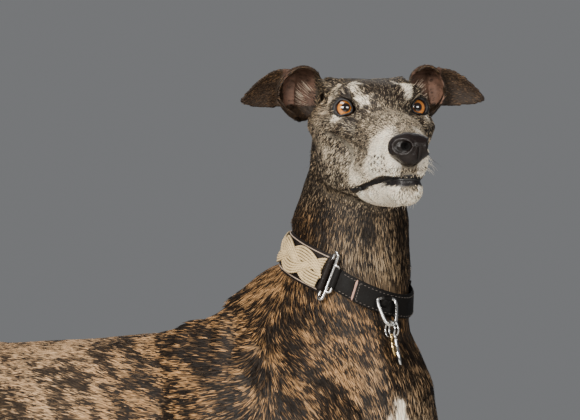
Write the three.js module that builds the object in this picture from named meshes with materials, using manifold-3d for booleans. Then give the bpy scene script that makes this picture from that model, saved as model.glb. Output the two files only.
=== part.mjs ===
// A life-size standing greyhound with a plaited collar, as a still museum model.
// Millimetres, +Z up. The dog faces +X with its left side towards +Y, on a floor at Z = 0.
import * as THREE from "three";
import { mergeVertices } from "three/addons/utils/BufferGeometryUtils.js";
import { ConvexGeometry } from "three/addons/geometries/ConvexGeometry.js";
import Module from "manifold-3d";

const wasm = await Module();
wasm.setup();

// Driving sizes of the dog, measured from the withers unless a line says otherwise.
const WITHERS = 727; // height of the withers above the floor
const ELBOW = 395; // height of the elbow
const LEG_SPREAD = 71; // half the distance between the legs of a pair
const FORE_CARPUS = 152; // height of the wrist of the foreleg
const HOCK = 205; // height of the point of the hock
const GAP = 0.3; // clearance that neighbouring pieces keep
const EYE_MID = new THREE.Vector3(245, -72, 894); // point between the two eyes
const HEAD_YAW = -43; // degrees: the head is turned to the dog's right
const HEAD_ROLL = 2; // degrees: and leans over a little
const HEAD_PITCH = 7.5; // degrees: the muzzle points a little down
const EYE_R = 10.8; // radius of the eyeball
const EYE_AT = new THREE.Vector3(-9, 31.5, -1); // left eyeball's centre in the head's frame
const COLLAR_AT = new THREE.Vector3(153, -1, 759);
const COLLAR_TILT = 24; // degrees: the collar hangs lower at the throat than at the nape
const BAND_H = 36; // width of the leather band of the collar
const BAND_T = 2.4; // its thickness
const STRAP_H = 20; // width of the plain strap across the throat

const v3 = (x, y, z) => new THREE.Vector3(x, y, z);
const deg = THREE.MathUtils.degToRad;
const mix = THREE.MathUtils.lerp;

// Forms: a form is a function of a point, negative inside. Masses melt into each other.
function melt(a, b, k) {
  const h = Math.max(k - Math.abs(a - b), 0) / k;
  return Math.min(a, b) - h * h * k * 0.25;
}

// A mass of flesh from point a to point b. Its section is an ellipse: radii are [side, deep] at either end.
function mass(a, b, ra, rb, k = 12, side = v3(0, 1, 0)) {
  const ab = b.clone().sub(a);
  const len2 = Math.max(ab.lengthSq(), 1e-6);
  const q = v3(0, 0, 0);
  const form = (p) => {
    q.copy(p).sub(a);
    const t = THREE.MathUtils.clamp(q.dot(ab) / len2, 0, 1);
    q.addScaledVector(ab, -t);
    const wide = mix(ra[0], rb[0], t);
    const deep = mix(ra[1], rb[1], t);
    const length = Math.max(q.length(), 1e-6);
    const s = q.dot(side);
    const k2 = Math.sqrt((s / wide) ** 2 + Math.max(length * length - s * s, 0) / deep ** 2);
    return length * (1 - 1 / Math.max(k2, 1e-6));
  };
  return { form, k };
}

// A rounded lump with three radii along X, Y and Z.
function lump(c, r, k = 10) {
  const form = (p) => {
    const x = p.x - c.x;
    const y = p.y - c.y;
    const z = p.z - c.z;
    const k2 = Math.sqrt((x / r.x) ** 2 + (y / r.y) ** 2 + (z / r.z) ** 2);
    return Math.hypot(x, y, z) * (1 - 1 / Math.max(k2, 1e-6));
  };
  return { form, k };
}

// Several stations in a row: each is [point, side radius, deep radius].
function chain(stations, k = 12) {
  const links = stations.slice(1).map((s, i) => {
    const [p, side, deep] = stations[i];
    return mass(p, s[0], [side, deep], [s[1], s[2]]).form;
  });
  return { form: (p) => links.reduce((d, link) => melt(d, link(p), 3), 1e3), k };
}

function together(masses) {
  return (p) => masses.reduce((d, m) => melt(d, m.form(p), m.k), 1e3);
}

const flipY = (p) => v3(p.x, -p.y, p.z);
function bothSides(make) {
  return [1, -1].flatMap((s) => make((x, y, z) => v3(x, s * y, z)));
}

// A smooth curve through values given at named places along the body.
function along(stations, column) {
  return (x) => {
    let i = 0;
    while (i < stations.length - 2 && x < stations[i + 1][0]) i += 1;
    const at = (n) => stations[THREE.MathUtils.clamp(n, 0, stations.length - 1)];
    const [p0, p1, p2, p3] = [at(i - 1), at(i), at(i + 1), at(i + 2)];
    const t = THREE.MathUtils.clamp((x - p1[0]) / (p2[0] - p1[0]), 0, 1);
    const slope = (q0, q2) => (q2[column] - q0[column]) / Math.min(q2[0] - q0[0], -1e-3);
    const m1 = slope(p0, p2) * (p2[0] - p1[0]);
    const m2 = slope(p1, p3) * (p2[0] - p1[0]);
    const t2 = t * t;
    const t3 = t2 * t;
    return (2 * t3 - 3 * t2 + 1) * p1[column] + (t3 - 2 * t2 + t) * m1
      + (3 * t2 - 2 * t3) * p2[column] + (t3 - t2) * m2;
  };
}

// The trunk without its limbs: place, underline, topline, half width, and how far the widest part lies above the middle.
const TRUNK = [
  [196, 512, 610, 34, 0.1],
  [170, 470, 650, 48, 0.1],
  [130, 430, 690, 58, 0.15],
  [80, 400, 702, 68, 0.25],
  [30, 384, WITHERS - 16, 78, 0.32],
  [-30, 378, WITHERS - 17, 88, 0.35],
  [-90, 384, WITHERS - 18, 96, 0.34],
  [-150, 402, WITHERS - 21, 99, 0.3],
  [-210, 432, WITHERS - 21, 94, 0.24],
  [-270, 474, WITHERS - 22, 82, 0.16],
  [-330, 515, WITHERS - 18, 70, 0.1],
  [-390, 540, WITHERS - 23, 64, 0.05],
  [-450, 548, WITHERS - 40, 62, 0],
  [-500, 560, WITHERS - 72, 50, 0],
  [-522, 580, WITHERS - 98, 34, 0],
];
const [underline, topline, halfWidth, lift] = [1, 2, 3, 4].map((c) => along(TRUNK, c));
const ROUNDNESS = 2.15; // exponent of the trunk's section: 2 is an ellipse, more is flatter sided
const trunkOnly = {
  k: 20,
  form: (p) => {
    const x = THREE.MathUtils.clamp(p.x, TRUNK.at(-1)[0], TRUNK[0][0]);
    const past = Math.abs(p.x - x);
    const low = underline(x);
    const high = topline(x);
    const half = (high - low) / 2;
    const dz = p.z - (high + low) / 2;
    const up = THREE.MathUtils.clamp(dz / half, -1, 1);
    const wide = halfWidth(x) * (1 + lift(x) * (up * 0.9 - 0.35));
    const n = ROUNDNESS;
    const k2 = (Math.abs(p.y / wide) ** n + Math.abs(dz / half) ** n + (past / 26) ** n) ** (1 / n);
    return Math.hypot(p.y, dz, past) * (1 - 1 / Math.max(k2, 1e-6));
  },
};

const shoulders = bothSides((at) => [
  mass(at(0, 34, 678), at(128, 58, 545), [20, 38], [26, 44], 26),
  lump(at(146, 52, 548), v3(38, 32, 40), 24),
  mass(at(142, 60, 528), at(30, 66, 432), [25, 40], [24, 38], 24),
  mass(at(40, 60, 600), at(10, 68, 450), [24, 46], [20, 34], 30),
]);

const haunches = bothSides((at) => [
  mass(at(-395, 40, 655), at(-490, 44, 610), [32, 38], [30, 40], 26),
  mass(at(-425, 52, 600), at(-372, 66, 440), [34, 58], [26, 38], 26),
  mass(at(-492, 46, 590), at(-448, 64, 455), [32, 50], [24, 44], 26),
]);

const NECK = [
  [v3(46, 0, 616), 52, 80],
  [v3(110, 0, 682), 58, 94],
  [v3(147, 0, 728), 53, 69],
  [v3(161, -1, 764), 48, 57],
  [v3(160, -2, 800), 44.5, 58.5],
  [v3(167, -3, 836), 39, 47],
  [v3(171, -9, 868), 37, 43],
];
const neck = chain(NECK, 30);
const prosternum = lump(v3(208, 0, 580), v3(37, 38, 62), 30);
const breast = lump(v3(195, 0, 638), v3(46, 53, 58), 34);

const TAIL = [
  [v3(-498, 0, 640), 24, 24],
  [v3(-530, 0, 628), 19, 20],
  [v3(-556, 0, 598), 15.5, 17],
  [v3(-574, 0, 548), 13.5, 14.5],
  [v3(-583, 0, 490), 12, 12.5],
  [v3(-586, 0, 430), 10.5, 11],
  [v3(-590, 0, 370), 9, 9.5],
  [v3(-601, 0, 316), 7.5, 8],
  [v3(-623, 0, 278), 6, 6.5],
  [v3(-652, 0, 262), 4, 4.5],
];
const tailMass = chain(TAIL, 14);
const tailStart = chain(TAIL.slice(0, 2), 14);

const withers = mass(v3(6, 0, 694), v3(40, 0, 718), [26, 22], [32, 24], 22);

const bodyForm = together([
  trunkOnly, ...shoulders, ...haunches, neck, withers, prosternum, breast, tailStart,
]);

// Ring meshes: every ring lies in a plane, and its corners are cast outwards until they leave the form.
function castOut(origin, direction, form, grow) {
  const p = v3(0, 0, 0);
  const inside = (r) => form(p.copy(origin).addScaledVector(direction, r)) < grow;
  let far = 0.5;
  while (inside(far) && far < 400) far += Math.max(1.2, -form(p) * 0.6);
  let near = Math.max(far - 12, 0);
  while (near > 0 && !inside(near)) near = Math.max(near - 4, 0);
  for (let i = 0; i < 18; i += 1) {
    const half = (near + far) / 2;
    if (inside(half)) near = half;
    else far = half;
  }
  return Math.max((near + far) / 2, 0.2);
}

// A closed solid over rings {o, u, v}. An end is flat in its ring's plane, or comes to a pole on the form.
function castRings(rings, form, sides, { grow = 0, poles = [false, false], limit = 400 } = {}) {
  const points = [];
  rings.forEach((ring) => {
    for (let j = 0; j < sides; j += 1) {
      const a = (j / sides) * 2 * Math.PI;
      const d = ring.u.clone().multiplyScalar(Math.cos(a)).addScaledVector(ring.v, Math.sin(a));
      points.push(ring.o.clone().addScaledVector(d, Math.min(castOut(ring.o, d, form, grow), limit)));
    }
  });
  const ends = [rings[0], rings.at(-1)].map((ring, e) => {
    const out = ring.u.clone().cross(ring.v).normalize().multiplyScalar(e ? 1 : -1);
    return poles[e]
      ? ring.o.clone().addScaledVector(out, castOut(ring.o, out, form, grow))
      : ring.o.clone();
  });
  const index = [];
  const last = rings.length - 1;
  const at = (i, j) => i * sides + (j % sides);
  for (let j = 0; j < sides; j += 1) {
    for (let i = 0; i < last; i += 1) {
      index.push(at(i, j), at(i, j + 1), at(i + 1, j + 1), at(i, j), at(i + 1, j + 1), at(i + 1, j));
    }
    index.push(points.length, at(0, j + 1), at(0, j));
    index.push(points.length + 1, at(last, j), at(last, j + 1));
  }
  points.push(...ends);
  return closed(points, index);
}

function closed(points, index) {
  const geometry = new THREE.BufferGeometry().setFromPoints(points);
  geometry.setIndex(index);
  return solid(geometry);
}

// Any closed three.js geometry as a solid that can be joined and cut.
function solid(geometry, matrix = new THREE.Matrix4()) {
  const g = geometry.clone().applyMatrix4(matrix);
  g.deleteAttribute("normal");
  g.deleteAttribute("uv");
  const merged = mergeVertices(g, 1e-3);
  const make = (triVerts) => new wasm.Manifold(
    new wasm.Mesh({ numProp: 3, vertProperties: merged.attributes.position.array, triVerts }),
  );
  const triVerts = new Uint32Array(merged.index.array);
  const made = make(triVerts);
  return made.volume() > 0 ? made : make(triVerts.reverse());
}

// The part of a solid on the side of a plane that its normal points to.
function keepAhead(piece, point, normal) {
  const SIZE = 2400;
  const box = new THREE.BoxGeometry(SIZE, SIZE, SIZE).translate(0, 0, SIZE / 2);
  const turn = new THREE.Quaternion().setFromUnitVectors(v3(0, 0, 1), normal.clone().normalize());
  return piece.intersect(solid(box, new THREE.Matrix4().compose(point, turn, v3(1, 1, 1))));
}

// Either side of a thin cut.
function part(piece, point, normal) {
  const n = normal.clone().normalize();
  return [1, -1].map((s) => {
    const shifted = point.clone().addScaledVector(n, (s * GAP) / 2);
    return keepAhead(piece, shifted, n.clone().multiplyScalar(s));
  });
}

function largest(piece) {
  return piece.decompose().sort((a, b) => b.volume() - a.volume())[0];
}

const dog = new THREE.Group();
const materials = {
  coat: new THREE.MeshStandardMaterial({ color: 0x4a3b2c, roughness: 0.8 }),
  face: new THREE.MeshStandardMaterial({ color: 0x8a8177, roughness: 0.85 }),
  nose: new THREE.MeshStandardMaterial({ color: 0x1b1817, roughness: 0.35 }),
  eye: new THREE.MeshStandardMaterial({ color: 0xa8611e, roughness: 0.08 }),
  leather: new THREE.MeshStandardMaterial({ color: 0x1d1916, roughness: 0.5 }),
  plait: new THREE.MeshStandardMaterial({ color: 0xcdb98f, roughness: 0.75 }),
  steel: new THREE.MeshStandardMaterial({ color: 0xc9c9c6, roughness: 0.25, metalness: 1 }),
  brass: new THREE.MeshStandardMaterial({ color: 0xd09a3c, roughness: 0.3, metalness: 1 }),
};

function add(name, piece, material, matrix) {
  const mesh = largest(piece).getMesh();
  const count = mesh.vertProperties.length / mesh.numProp;
  const xyz = new Float32Array(count * 3);
  for (let i = 0; i < count; i += 1) {
    xyz.set(mesh.vertProperties.subarray(i * mesh.numProp, i * mesh.numProp + 3), i * 3);
  }
  const geometry = new THREE.BufferGeometry();
  geometry.setAttribute("position", new THREE.BufferAttribute(xyz, 3));
  geometry.setIndex(new THREE.BufferAttribute(mesh.triVerts, 1));
  geometry.computeVertexNormals();
  const object = new THREE.Mesh(geometry, materials[material]);
  object.name = name;
  if (matrix) object.applyMatrix4(matrix);
  dog.add(object);
}

// Legs: each station is a point on the leg's line with its side and deep radii.
const FORELEG = [
  [v3(26, LEG_SPREAD - 3, 440), 24, 36],
  [v3(18, LEG_SPREAD, ELBOW), 23, 30],
  [v3(20, LEG_SPREAD, ELBOW - 60), 20.5, 26],
  [v3(23, LEG_SPREAD, ELBOW - 130), 17, 20],
  [v3(26, LEG_SPREAD, FORE_CARPUS + 30), 14.5, 15.5],
  [v3(28, LEG_SPREAD, FORE_CARPUS), 17, 17.5],
  [v3(31, LEG_SPREAD, FORE_CARPUS - 28), 14, 13.5],
  [v3(38, LEG_SPREAD, 78), 14.5, 13],
  [v3(46, LEG_SPREAD, 50), 17, 16],
  [v3(52, LEG_SPREAD, 30), 17, 16],
];
const HINDLEG = [
  [v3(-455, LEG_SPREAD - 19, 560), 30, 88],
  [v3(-440, LEG_SPREAD - 13, 500), 33, 84],
  [v3(-405, LEG_SPREAD - 5, 435), 29, 58],
  [v3(-385, LEG_SPREAD - 1, 395), 25, 43],
  [v3(-410, LEG_SPREAD, 350), 21, 36],
  [v3(-448, LEG_SPREAD, 296), 16.5, 27],
  [v3(-490, LEG_SPREAD, 246), 12.5, 18],
  [v3(-532, LEG_SPREAD, HOCK - 7), 13.5, 20],
  [v3(-539, LEG_SPREAD, 160), 13.5, 16],
  [v3(-535, LEG_SPREAD, 110), 12.5, 13.5],
  [v3(-527, LEG_SPREAD, 68), 14, 13.5],
  [v3(-519, LEG_SPREAD, 48), 17, 15],
  [v3(-514, LEG_SPREAD, 30), 17, 15],
];

const GROIN = 505; // height of the cut between the rump and the thighs
// The rings of the upper hind leg are cast from here, where they fan out without crossing.
const THIGH_AXIS = [
  v3(-447, LEG_SPREAD - 14, GROIN - GAP / 2),
  v3(-432, LEG_SPREAD - 10, 452),
  v3(-418, LEG_SPREAD - 4, 402),
  v3(-419, LEG_SPREAD, 352),
];

const ofSide = (s) => (p) => (s > 0 ? p : flipY(p));
function forelegForm(s) {
  const f = ofSide(s);
  return together([
    chain(FORELEG.map(([p, a, b]) => [f(p), a, b]), 14),
    mass(f(v3(2, LEG_SPREAD, ELBOW + 26)), f(v3(-10, LEG_SPREAD, ELBOW + 4)), [12, 14], [11, 12], 14),
    lump(f(v3(18, LEG_SPREAD, FORE_CARPUS - 14)), v3(7, 8, 9), 8),
  ]);
}
function hindlegForm(s) {
  const f = ofSide(s);
  return together([
    chain(HINDLEG.map(([p, a, b]) => [f(p), a, b]), 22),
    mass(f(v3(-425, LEG_SPREAD - 16, 590)), f(v3(-368, LEG_SPREAD - 4, 425)), [32, 56], [25, 30], 22),
    mass(f(v3(-500, LEG_SPREAD - 20, 580)), f(v3(-452, LEG_SPREAD - 6, 425)), [31, 40], [21, 34], 22),
    mass(f(v3(-362, LEG_SPREAD, 402)), f(v3(-366, LEG_SPREAD, 380)), [14, 16], [12, 14], 16),
    mass(f(v3(-470, LEG_SPREAD, 330)), f(v3(-556, LEG_SPREAD, HOCK + 5)), [7, 12], [6.5, 7.5], 14),
    lump(f(v3(-557, LEG_SPREAD, HOCK + 1)), v3(9, 9, 12), 12),
  ]);
}

const hindSides = [1, -1].map((s) => hindlegForm(s));
const hindBody = (p) => melt(bodyForm(p), p.y > 0 ? hindSides[0](p) : hindSides[1](p), 26);

// Trunk: upright rings from the breast to the buttocks.
const upright = (x, z) => ({ o: v3(x, 0, z), u: v3(0, 1, 0), v: v3(0, 0, 1) });
const NECK_BASE = { o: v3(123, 0, 681), n: v3(0.499, 0, 0.867) };
const CHEST_END = -196;
const LOIN_END = -372;
const FRONT = 246;
const BACK = -541;
const nearFront = [1.5, 6, 14, 26, 40].map((d) => FRONT - d);
const nearBack = [40, 26, 15, 7, 2].map((d) => BACK + d);
const steps = (from, to, count) => Array.from({ length: count }, (_, i) => mix(from, to, i / (count - 1)));
const heartHeight = (x) => mix(560, 640, THREE.MathUtils.smoothstep(-x, -200, 330));
const chestRings = [...nearFront, ...steps(160, CHEST_END + GAP / 2, 14)]
  .map((x) => upright(x, heartHeight(x))).reverse();
const loinRings = steps(LOIN_END + GAP / 2, CHEST_END - GAP / 2, 8).map((x) => upright(x, heartHeight(x)));
const rumpRings = [...steps(LOIN_END - GAP / 2, BACK + 60, 6), ...nearBack]
  .map((x) => upright(x, mix(640, 618, THREE.MathUtils.smoothstep(-x, 400, 540)))).reverse();
// Rings run towards +X, so the plane's own axes are Y then Z.
const TRUNK_SIDES = 24;
const chestWhole = castRings(chestRings, bodyForm, TRUNK_SIDES, { poles: [false, true] });
const chest = part(chestWhole, NECK_BASE.o, NECK_BASE.n)[1];
const FLANK = -324; // the thigh reaches forward to here below the groin
const underFlank = (grow) => solid(new THREE.BoxGeometry(160, 400, 300).translate(
  FLANK - grow - 80, 0, GROIN - 150 + GAP / 2 - grow,
));
const loin = castRings(loinRings, hindBody, TRUNK_SIDES).subtract(underFlank(0));
const rumpWhole = castRings(rumpRings, hindBody, TRUNK_SIDES, { poles: [true, false] });
const rump = keepAhead(rumpWhole, v3(0, 0, GROIN + GAP / 2), v3(0, 0, 1));
const loinGrown = castRings(loinRings, hindBody, TRUNK_SIDES, { grow: GAP * 1.3 })
  .subtract(underFlank(GAP));
const chestGrown = castRings(chestRings, bodyForm, TRUNK_SIDES, { grow: GAP * 1.3, poles: [false, true] });

// Neck: its rings turn from the cut at its base to the cut behind the skull.
const headTurn = new THREE.Matrix4().makeRotationFromEuler(
  new THREE.Euler(deg(HEAD_ROLL), deg(HEAD_PITCH), deg(HEAD_YAW), "ZYX"),
);
const headPlace = headTurn.clone().setPosition(EYE_MID);
const toHead = headPlace.clone().invert();
const SKULL_CUT = { o: v3(-95, 0, -38), n: v3(0.797, 0, 0.605) };
const skullCut = {
  o: SKULL_CUT.o.clone().applyMatrix4(headPlace),
  n: SKULL_CUT.n.clone().transformDirection(headPlace),
};

// Head, in its own frame: X along the muzzle, Y to its left, Z up, from the point between the eyes.
const MUZZLE_END = 109;
const muzzle = [
  mass(v3(-36, 0, -50), v3(92, 0, -51), [28, 20], [11, 9], 10),
  mass(v3(0, 0, -20), v3(60, 0, -29), [31, 24], [23.5, 21], 12),
  mass(v3(60, 0, -29), v3(MUZZLE_END - 14, 0, -37), [23.5, 21], [18.5, 18], 10),
  ...bothSides((at) => [
    mass(at(8, 22, -56), at(30, 18, -53), [9, 12], [9.5, 12], 9),
    mass(at(30, 18, -53), at(66, 13.5, -50), [9.5, 12], [9, 11], 9),
    mass(at(66, 13.5, -50), at(MUZZLE_END - 11, 9, -50), [9, 11], [8.5, 10.5], 8),
  ]),
];
const skull = [
  lump(v3(-62, 0, -10), v3(66, 41, 37), 14),
  lump(v3(-20, 0, 2), v3(40, 33, 20), 14),
  lump(v3(-108, 0, 0), v3(20, 18, 17), 16),
  ...bothSides((at) => [
    lump(at(-4, 27, 14), v3(17, 10, 7), 9),
    mass(at(6, 35, -16), at(-24, 44, -17), [7, 8], [7.5, 9], 10),
    mass(at(-24, 44, -17), at(-58, 46, -14), [7.5, 9], [8, 10], 10),
    lump(at(-44, 33, -42), v3(31, 17, 30), 14),
    lump(at(-66, 38, -12), v3(24, 14, 16), 12),
    lump(at(-60, 20, 13), v3(28, 15, 13), 12),
    lump(at(-72, 33, 18.5), v3(19, 12, 12), 10),
  ]),
  lump(v3(-58, 0, -48), v3(42, 34, 34), 16),
];
const jaw = [
  mass(v3(-30, 0, -66), v3(12, 0, -69), [29, 17], [26.5, 15], 12),
  mass(v3(12, 0, -69), v3(40, 0, -71), [26.5, 15], [19.5, 13.5], 12),
  mass(v3(40, 0, -71), v3(92, 0, -70.5), [19.5, 13.5], [13, 12], 10),
  lump(v3(95, 0, -71), v3(14, 13, 12), 8),
];
const headForm = together([...skull, ...muzzle, ...jaw]);
const jawForm = together([...skull, ...jaw]);
const p2 = v3(0, 0, 0);
const neckAndHead = (p) => melt(bodyForm(p), headForm(p2.copy(p).applyMatrix4(toHead)), 18);
const headAndNeck = (p) => melt(headForm(p), bodyForm(v3(0, 0, 0).copy(p).applyMatrix4(headPlace)), 18);

function tiltedRing(o, n, side) {
  const v = n.clone().normalize().cross(side).normalize();
  return { o, u: v.clone().cross(n.clone().normalize()).normalize(), v };
}
const neckStops = [
  [NECK_BASE.o, NECK_BASE.n],
  [v3(137, 0, 706), v3(0.44, 0, 0.9)],
  [v3(148, 0, 730), v3(0.38, 0, 0.92)],
  [v3(156, 0, 752), v3(0.33, 0, 0.94)],
  [v3(160, -1, 774), v3(0.28, 0, 0.96)],
  [v3(163, -2, 796), v3(0.26, -0.05, 0.96)],
  [v3(165, -3, 818), v3(0.31, -0.15, 0.94)],
  [v3(167, -5, 842), v3(0.48, -0.34, 0.8)],
  [skullCut.o, skullCut.n],
];
const neckRings = neckStops.map(([o, n], i) => {
  const unit = n.clone().normalize();
  const shift = (i === 0 ? 1 : 0) * GAP / 2 - (i === neckStops.length - 1 ? 1 : 0) * GAP / 2;
  const left = v3(0, 1, 0).lerp(v3(0, 1, 0).transformDirection(headTurn), i / (neckStops.length - 1));
  return tiltedRing(o.clone().addScaledVector(unit, shift), unit, left);
});
const neckCast = castRings(neckRings, neckAndHead, 24);
const neckSolid = part(part(neckCast, NECK_BASE.o, NECK_BASE.n)[0], skullCut.o, skullCut.n)[1];

const headStops = [
  [v3(-95, 0, -38), v3(0.797, 0, 0.605)],
  [v3(-84, 0, -33), v3(0.86, 0, 0.5)],
  [v3(-72, 0, -29), v3(0.92, 0, 0.39)],
  [v3(-60, 0, -26), v3(0.96, 0, 0.27)],
  [v3(-48, 0, -25), v3(0.98, 0, 0.17)],
  [v3(-37, 0, -25), v3(1, 0, 0.08)],
  ...[-26, -17, -9, -2, 5, 12, 20, 29, 40, 52, 64, 76, 87, 96, 102, 106.5]
    .map((x) => [v3(x, 0, mix(-26, -44, THREE.MathUtils.smoothstep(x, -20, 100))), v3(1, 0, 0)]),
];
const headRings = headStops.map(([o, n], i) => tiltedRing(
  o.clone().addScaledVector(n.clone().normalize(), i ? 0 : GAP / 2), n, v3(0, 1, 0),
));
const HEAD_SIDES = 36;
const headCast = castRings(headRings, headAndNeck, HEAD_SIDES, { poles: [false, true] });

// The line of the mouth in side view, from the front of the lips back to the corner.
const MOUTH = [[130, -61], [104, -60.5], [78, -61], [54, -64], [40, -67], [12, -73]];
const JAW_REAR = [[4, -84], [-2, -120]];
function belowMouth(offset) {
  const shape = new THREE.Shape();
  const line = [...MOUTH, ...JAW_REAR].map(([x, z], i) => (
    i < MOUTH.length ? [x, z + offset] : [x - offset, z + offset * 0.3]
  ));
  shape.moveTo(...line[0]);
  line.slice(1).forEach((q) => shape.lineTo(...q));
  shape.lineTo(140, -120);
  const prism = new THREE.ExtrudeGeometry(shape, { depth: 160, bevelEnabled: false });
  prism.translate(0, 0, -80).rotateX(Math.PI / 2);
  return solid(prism);
}

// Nose leather: a rounded pad with two comma shaped nostrils and a groove down its front.
const NOSE_AT = v3(MUZZLE_END, 0, -35);
const noseForm = together([
  lump(v3(MUZZLE_END + 1, 0, -33.5), v3(15, 14.5, 11.5), 5),
  lump(v3(MUZZLE_END + 2, 0, -42), v3(12.5, 10, 9), 5),
  ...bothSides((at) => [lump(at(MUZZLE_END, 10.5, -35), v3(12, 7.2, 9), 5)]),
]);
const noseRings = [-9, -4, 1, 5, 8.5, 11.5, 13.5, 15].map((d) => tiltedRing(
  v3(NOSE_AT.x + d, 0, NOSE_AT.z - 1), v3(1, 0, 0), v3(0, 1, 0),
));
const noseCast = (grow) => castRings(noseRings, noseForm, 16, { grow, poles: [false, true] });
function nostril(side) {
  const hole = new THREE.CylinderGeometry(3, 5.2, 16, 8).rotateZ(-Math.PI / 2).scale(1, 1, 0.85);
  const slit = new THREE.BoxGeometry(16, 9, 2.2).translate(-2, side * 6, -1.5);
  const aim = new THREE.Matrix4().compose(
    v3(NOSE_AT.x + 10, side * 9, NOSE_AT.z + 0.5),
    new THREE.Quaternion().setFromEuler(new THREE.Euler(side * -0.35, 0, side * 0.45)),
    v3(1, 1, 1),
  );
  return solid(hole, aim).add(solid(slit, aim));
}
const groove = solid(new THREE.BoxGeometry(6, 1.2, 24).translate(NOSE_AT.x + 16.5, 0, NOSE_AT.z - 10));
const nose = noseCast(0).subtract(nostril(1)).subtract(nostril(-1)).subtract(groove);
const noseSocket = noseCast(GAP * 1.4);

// Lids: a thin shell over the eyeball with an almond opening turned to where the eye looks.
function eyeAim(side) {
  const look = v3(0.975, side * 0.15, 0.085).normalize();
  const across = v3(0, 0, 1).cross(look).normalize();
  const up = look.clone().cross(across);
  return new THREE.Matrix4().makeBasis(across, up, look)
    .setPosition(v3(EYE_AT.x, side * EYE_AT.y, EYE_AT.z));
}
function lids(side) {
  const shell = solid(new THREE.SphereGeometry(EYE_R + 2.4, 14, 9), eyeAim(side));
  const almond = new THREE.Shape();
  const inner = -side; // the corner by the nose is the pointed one
  almond.moveTo(-9.8 * inner, 0.6);
  almond.quadraticCurveTo(-7.5 * inner, 8.6, 0, 8.6);
  almond.quadraticCurveTo(7 * inner, 8.4, 10.8 * inner, -2.4);
  almond.quadraticCurveTo(6 * inner, -8.8, -0.5 * inner, -8.4);
  almond.quadraticCurveTo(-8.2 * inner, -7.6, -9.8 * inner, 0.6);
  const prism = new THREE.ExtrudeGeometry(almond, { depth: 24, bevelEnabled: false, curveSegments: 4 });
  return [shell, solid(prism, eyeAim(side))];
}
const eyeball = (side, grow) => solid(new THREE.SphereGeometry(EYE_R + grow, 14, 8), eyeAim(side));

const jawRings = [-22, -8, 4, 16, 29, 43, 58, 73, 86, 95, 101, 105.5].map((x) => tiltedRing(
  v3(x, 0, -71), v3(1, 0, 0), v3(0, 1, 0),
));
const lowerJaw = castRings(jawRings, jawForm, 20, { poles: [false, true] })
  .intersect(belowMouth(-GAP / 2));

add("lower_jaw", lowerJaw, "face", headPlace);
add("nose", nose, "nose", headPlace);

// Ears: a curled sheet stands up as a cup open to the front, and a leaf hangs out sideways from behind it.
// Each station: point on the sheet's spine, where the hollow faces, half width, curl in degrees, thickness.
const CUP = [
  { c: v3(-88, 45, -7), face: v3(1, 0.12, 0.1), half: 12.5, curl: 126, t: 3.4 },
  { c: v3(-92, 49, 1), face: v3(1, 0.12, 0), half: 17, curl: 118, t: 3 },
  { c: v3(-94, 53, 12), face: v3(1, 0.1, 0), half: 20, curl: 112, t: 2.8 },
  { c: v3(-92, 55, 24), face: v3(0.97, 0.05, -0.25), half: 20.5, curl: 100, t: 2.7 },
  { c: v3(-85, 55, 34.5), face: v3(0.6, 0, -0.8), half: 19, curl: 84, t: 2.7 },
  { c: v3(-75, 55, 39), face: v3(0.2, 0, -1), half: 16, curl: 68, t: 2.6 },
  { c: v3(-66, 55, 38), face: v3(-0.15, 0, -1), half: 11, curl: 54, t: 2.2 },
];
const LEAF = [
  { c: v3(-88, 62, 20), face: v3(1, 0.1, -0.1), half: 17, curl: 34, t: 3 },
  { c: v3(-89, 74, 21), face: v3(1, 0, -0.12), half: 18, curl: 34, t: 2.9 },
  { c: v3(-87, 85, 18.5), face: v3(1, -0.05, -0.15), half: 16.5, curl: 36, t: 2.7 },
  { c: v3(-84, 96, 14.5), face: v3(1, -0.1, -0.15), half: 12.5, curl: 34, t: 2.5 },
  { c: v3(-81, 105, 11), face: v3(1, -0.15, -0.15), half: 8, curl: 26, t: 2.2 },
  { c: v3(-79, 112.5, 8.5), face: v3(1, -0.15, -0.1), half: 2.6, curl: 12, t: 1.7 },
];
const HOLLOW_ROOM = 5; // how far the head stands back in front of the cup

// The two faces of a curled sheet over its stations, as rows of points.
function sheetRows(stations, side, rows, cols) {
  const spine = new THREE.CatmullRomCurve3(stations.map((s) => s.c.clone()));
  const faces = [[], []];
  for (let i = 0; i < rows; i += 1) {
    const f = (i / (rows - 1)) * (stations.length - 1);
    const n = Math.min(Math.floor(f), stations.length - 2);
    const [a, b] = [stations[n], stations[n + 1]];
    const t = f / (stations.length - 1);
    const run = spine.getTangent(t);
    const facing = a.face.clone().lerp(b.face, f - n);
    facing.addScaledVector(run, -facing.dot(run)).normalize();
    const across = run.clone().cross(facing).normalize();
    const [half, curl, thick] = ["half", "curl", "t"].map((key) => mix(a[key], b[key], f - n));
    const bend = deg(curl);
    const radius = half / Math.sin(Math.min(bend, Math.PI / 2));
    const centre = spine.getPoint(t).addScaledVector(facing, radius);
    for (let j = 0; j < cols; j += 1) {
      const place = (2 * j) / (cols - 1) - 1;
      const out = across.clone().multiplyScalar(Math.sin(place * bend))
        .addScaledVector(facing, -Math.cos(place * bend));
      const edge = (thick * (1 - 0.4 * Math.abs(place) ** 3)) / 2;
      [edge, -edge].forEach((e, k) => {
        const p = centre.clone().addScaledVector(out, radius + e);
        faces[k].push(v3(p.x, side * p.y, p.z));
      });
    }
  }
  return faces;
}

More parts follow.
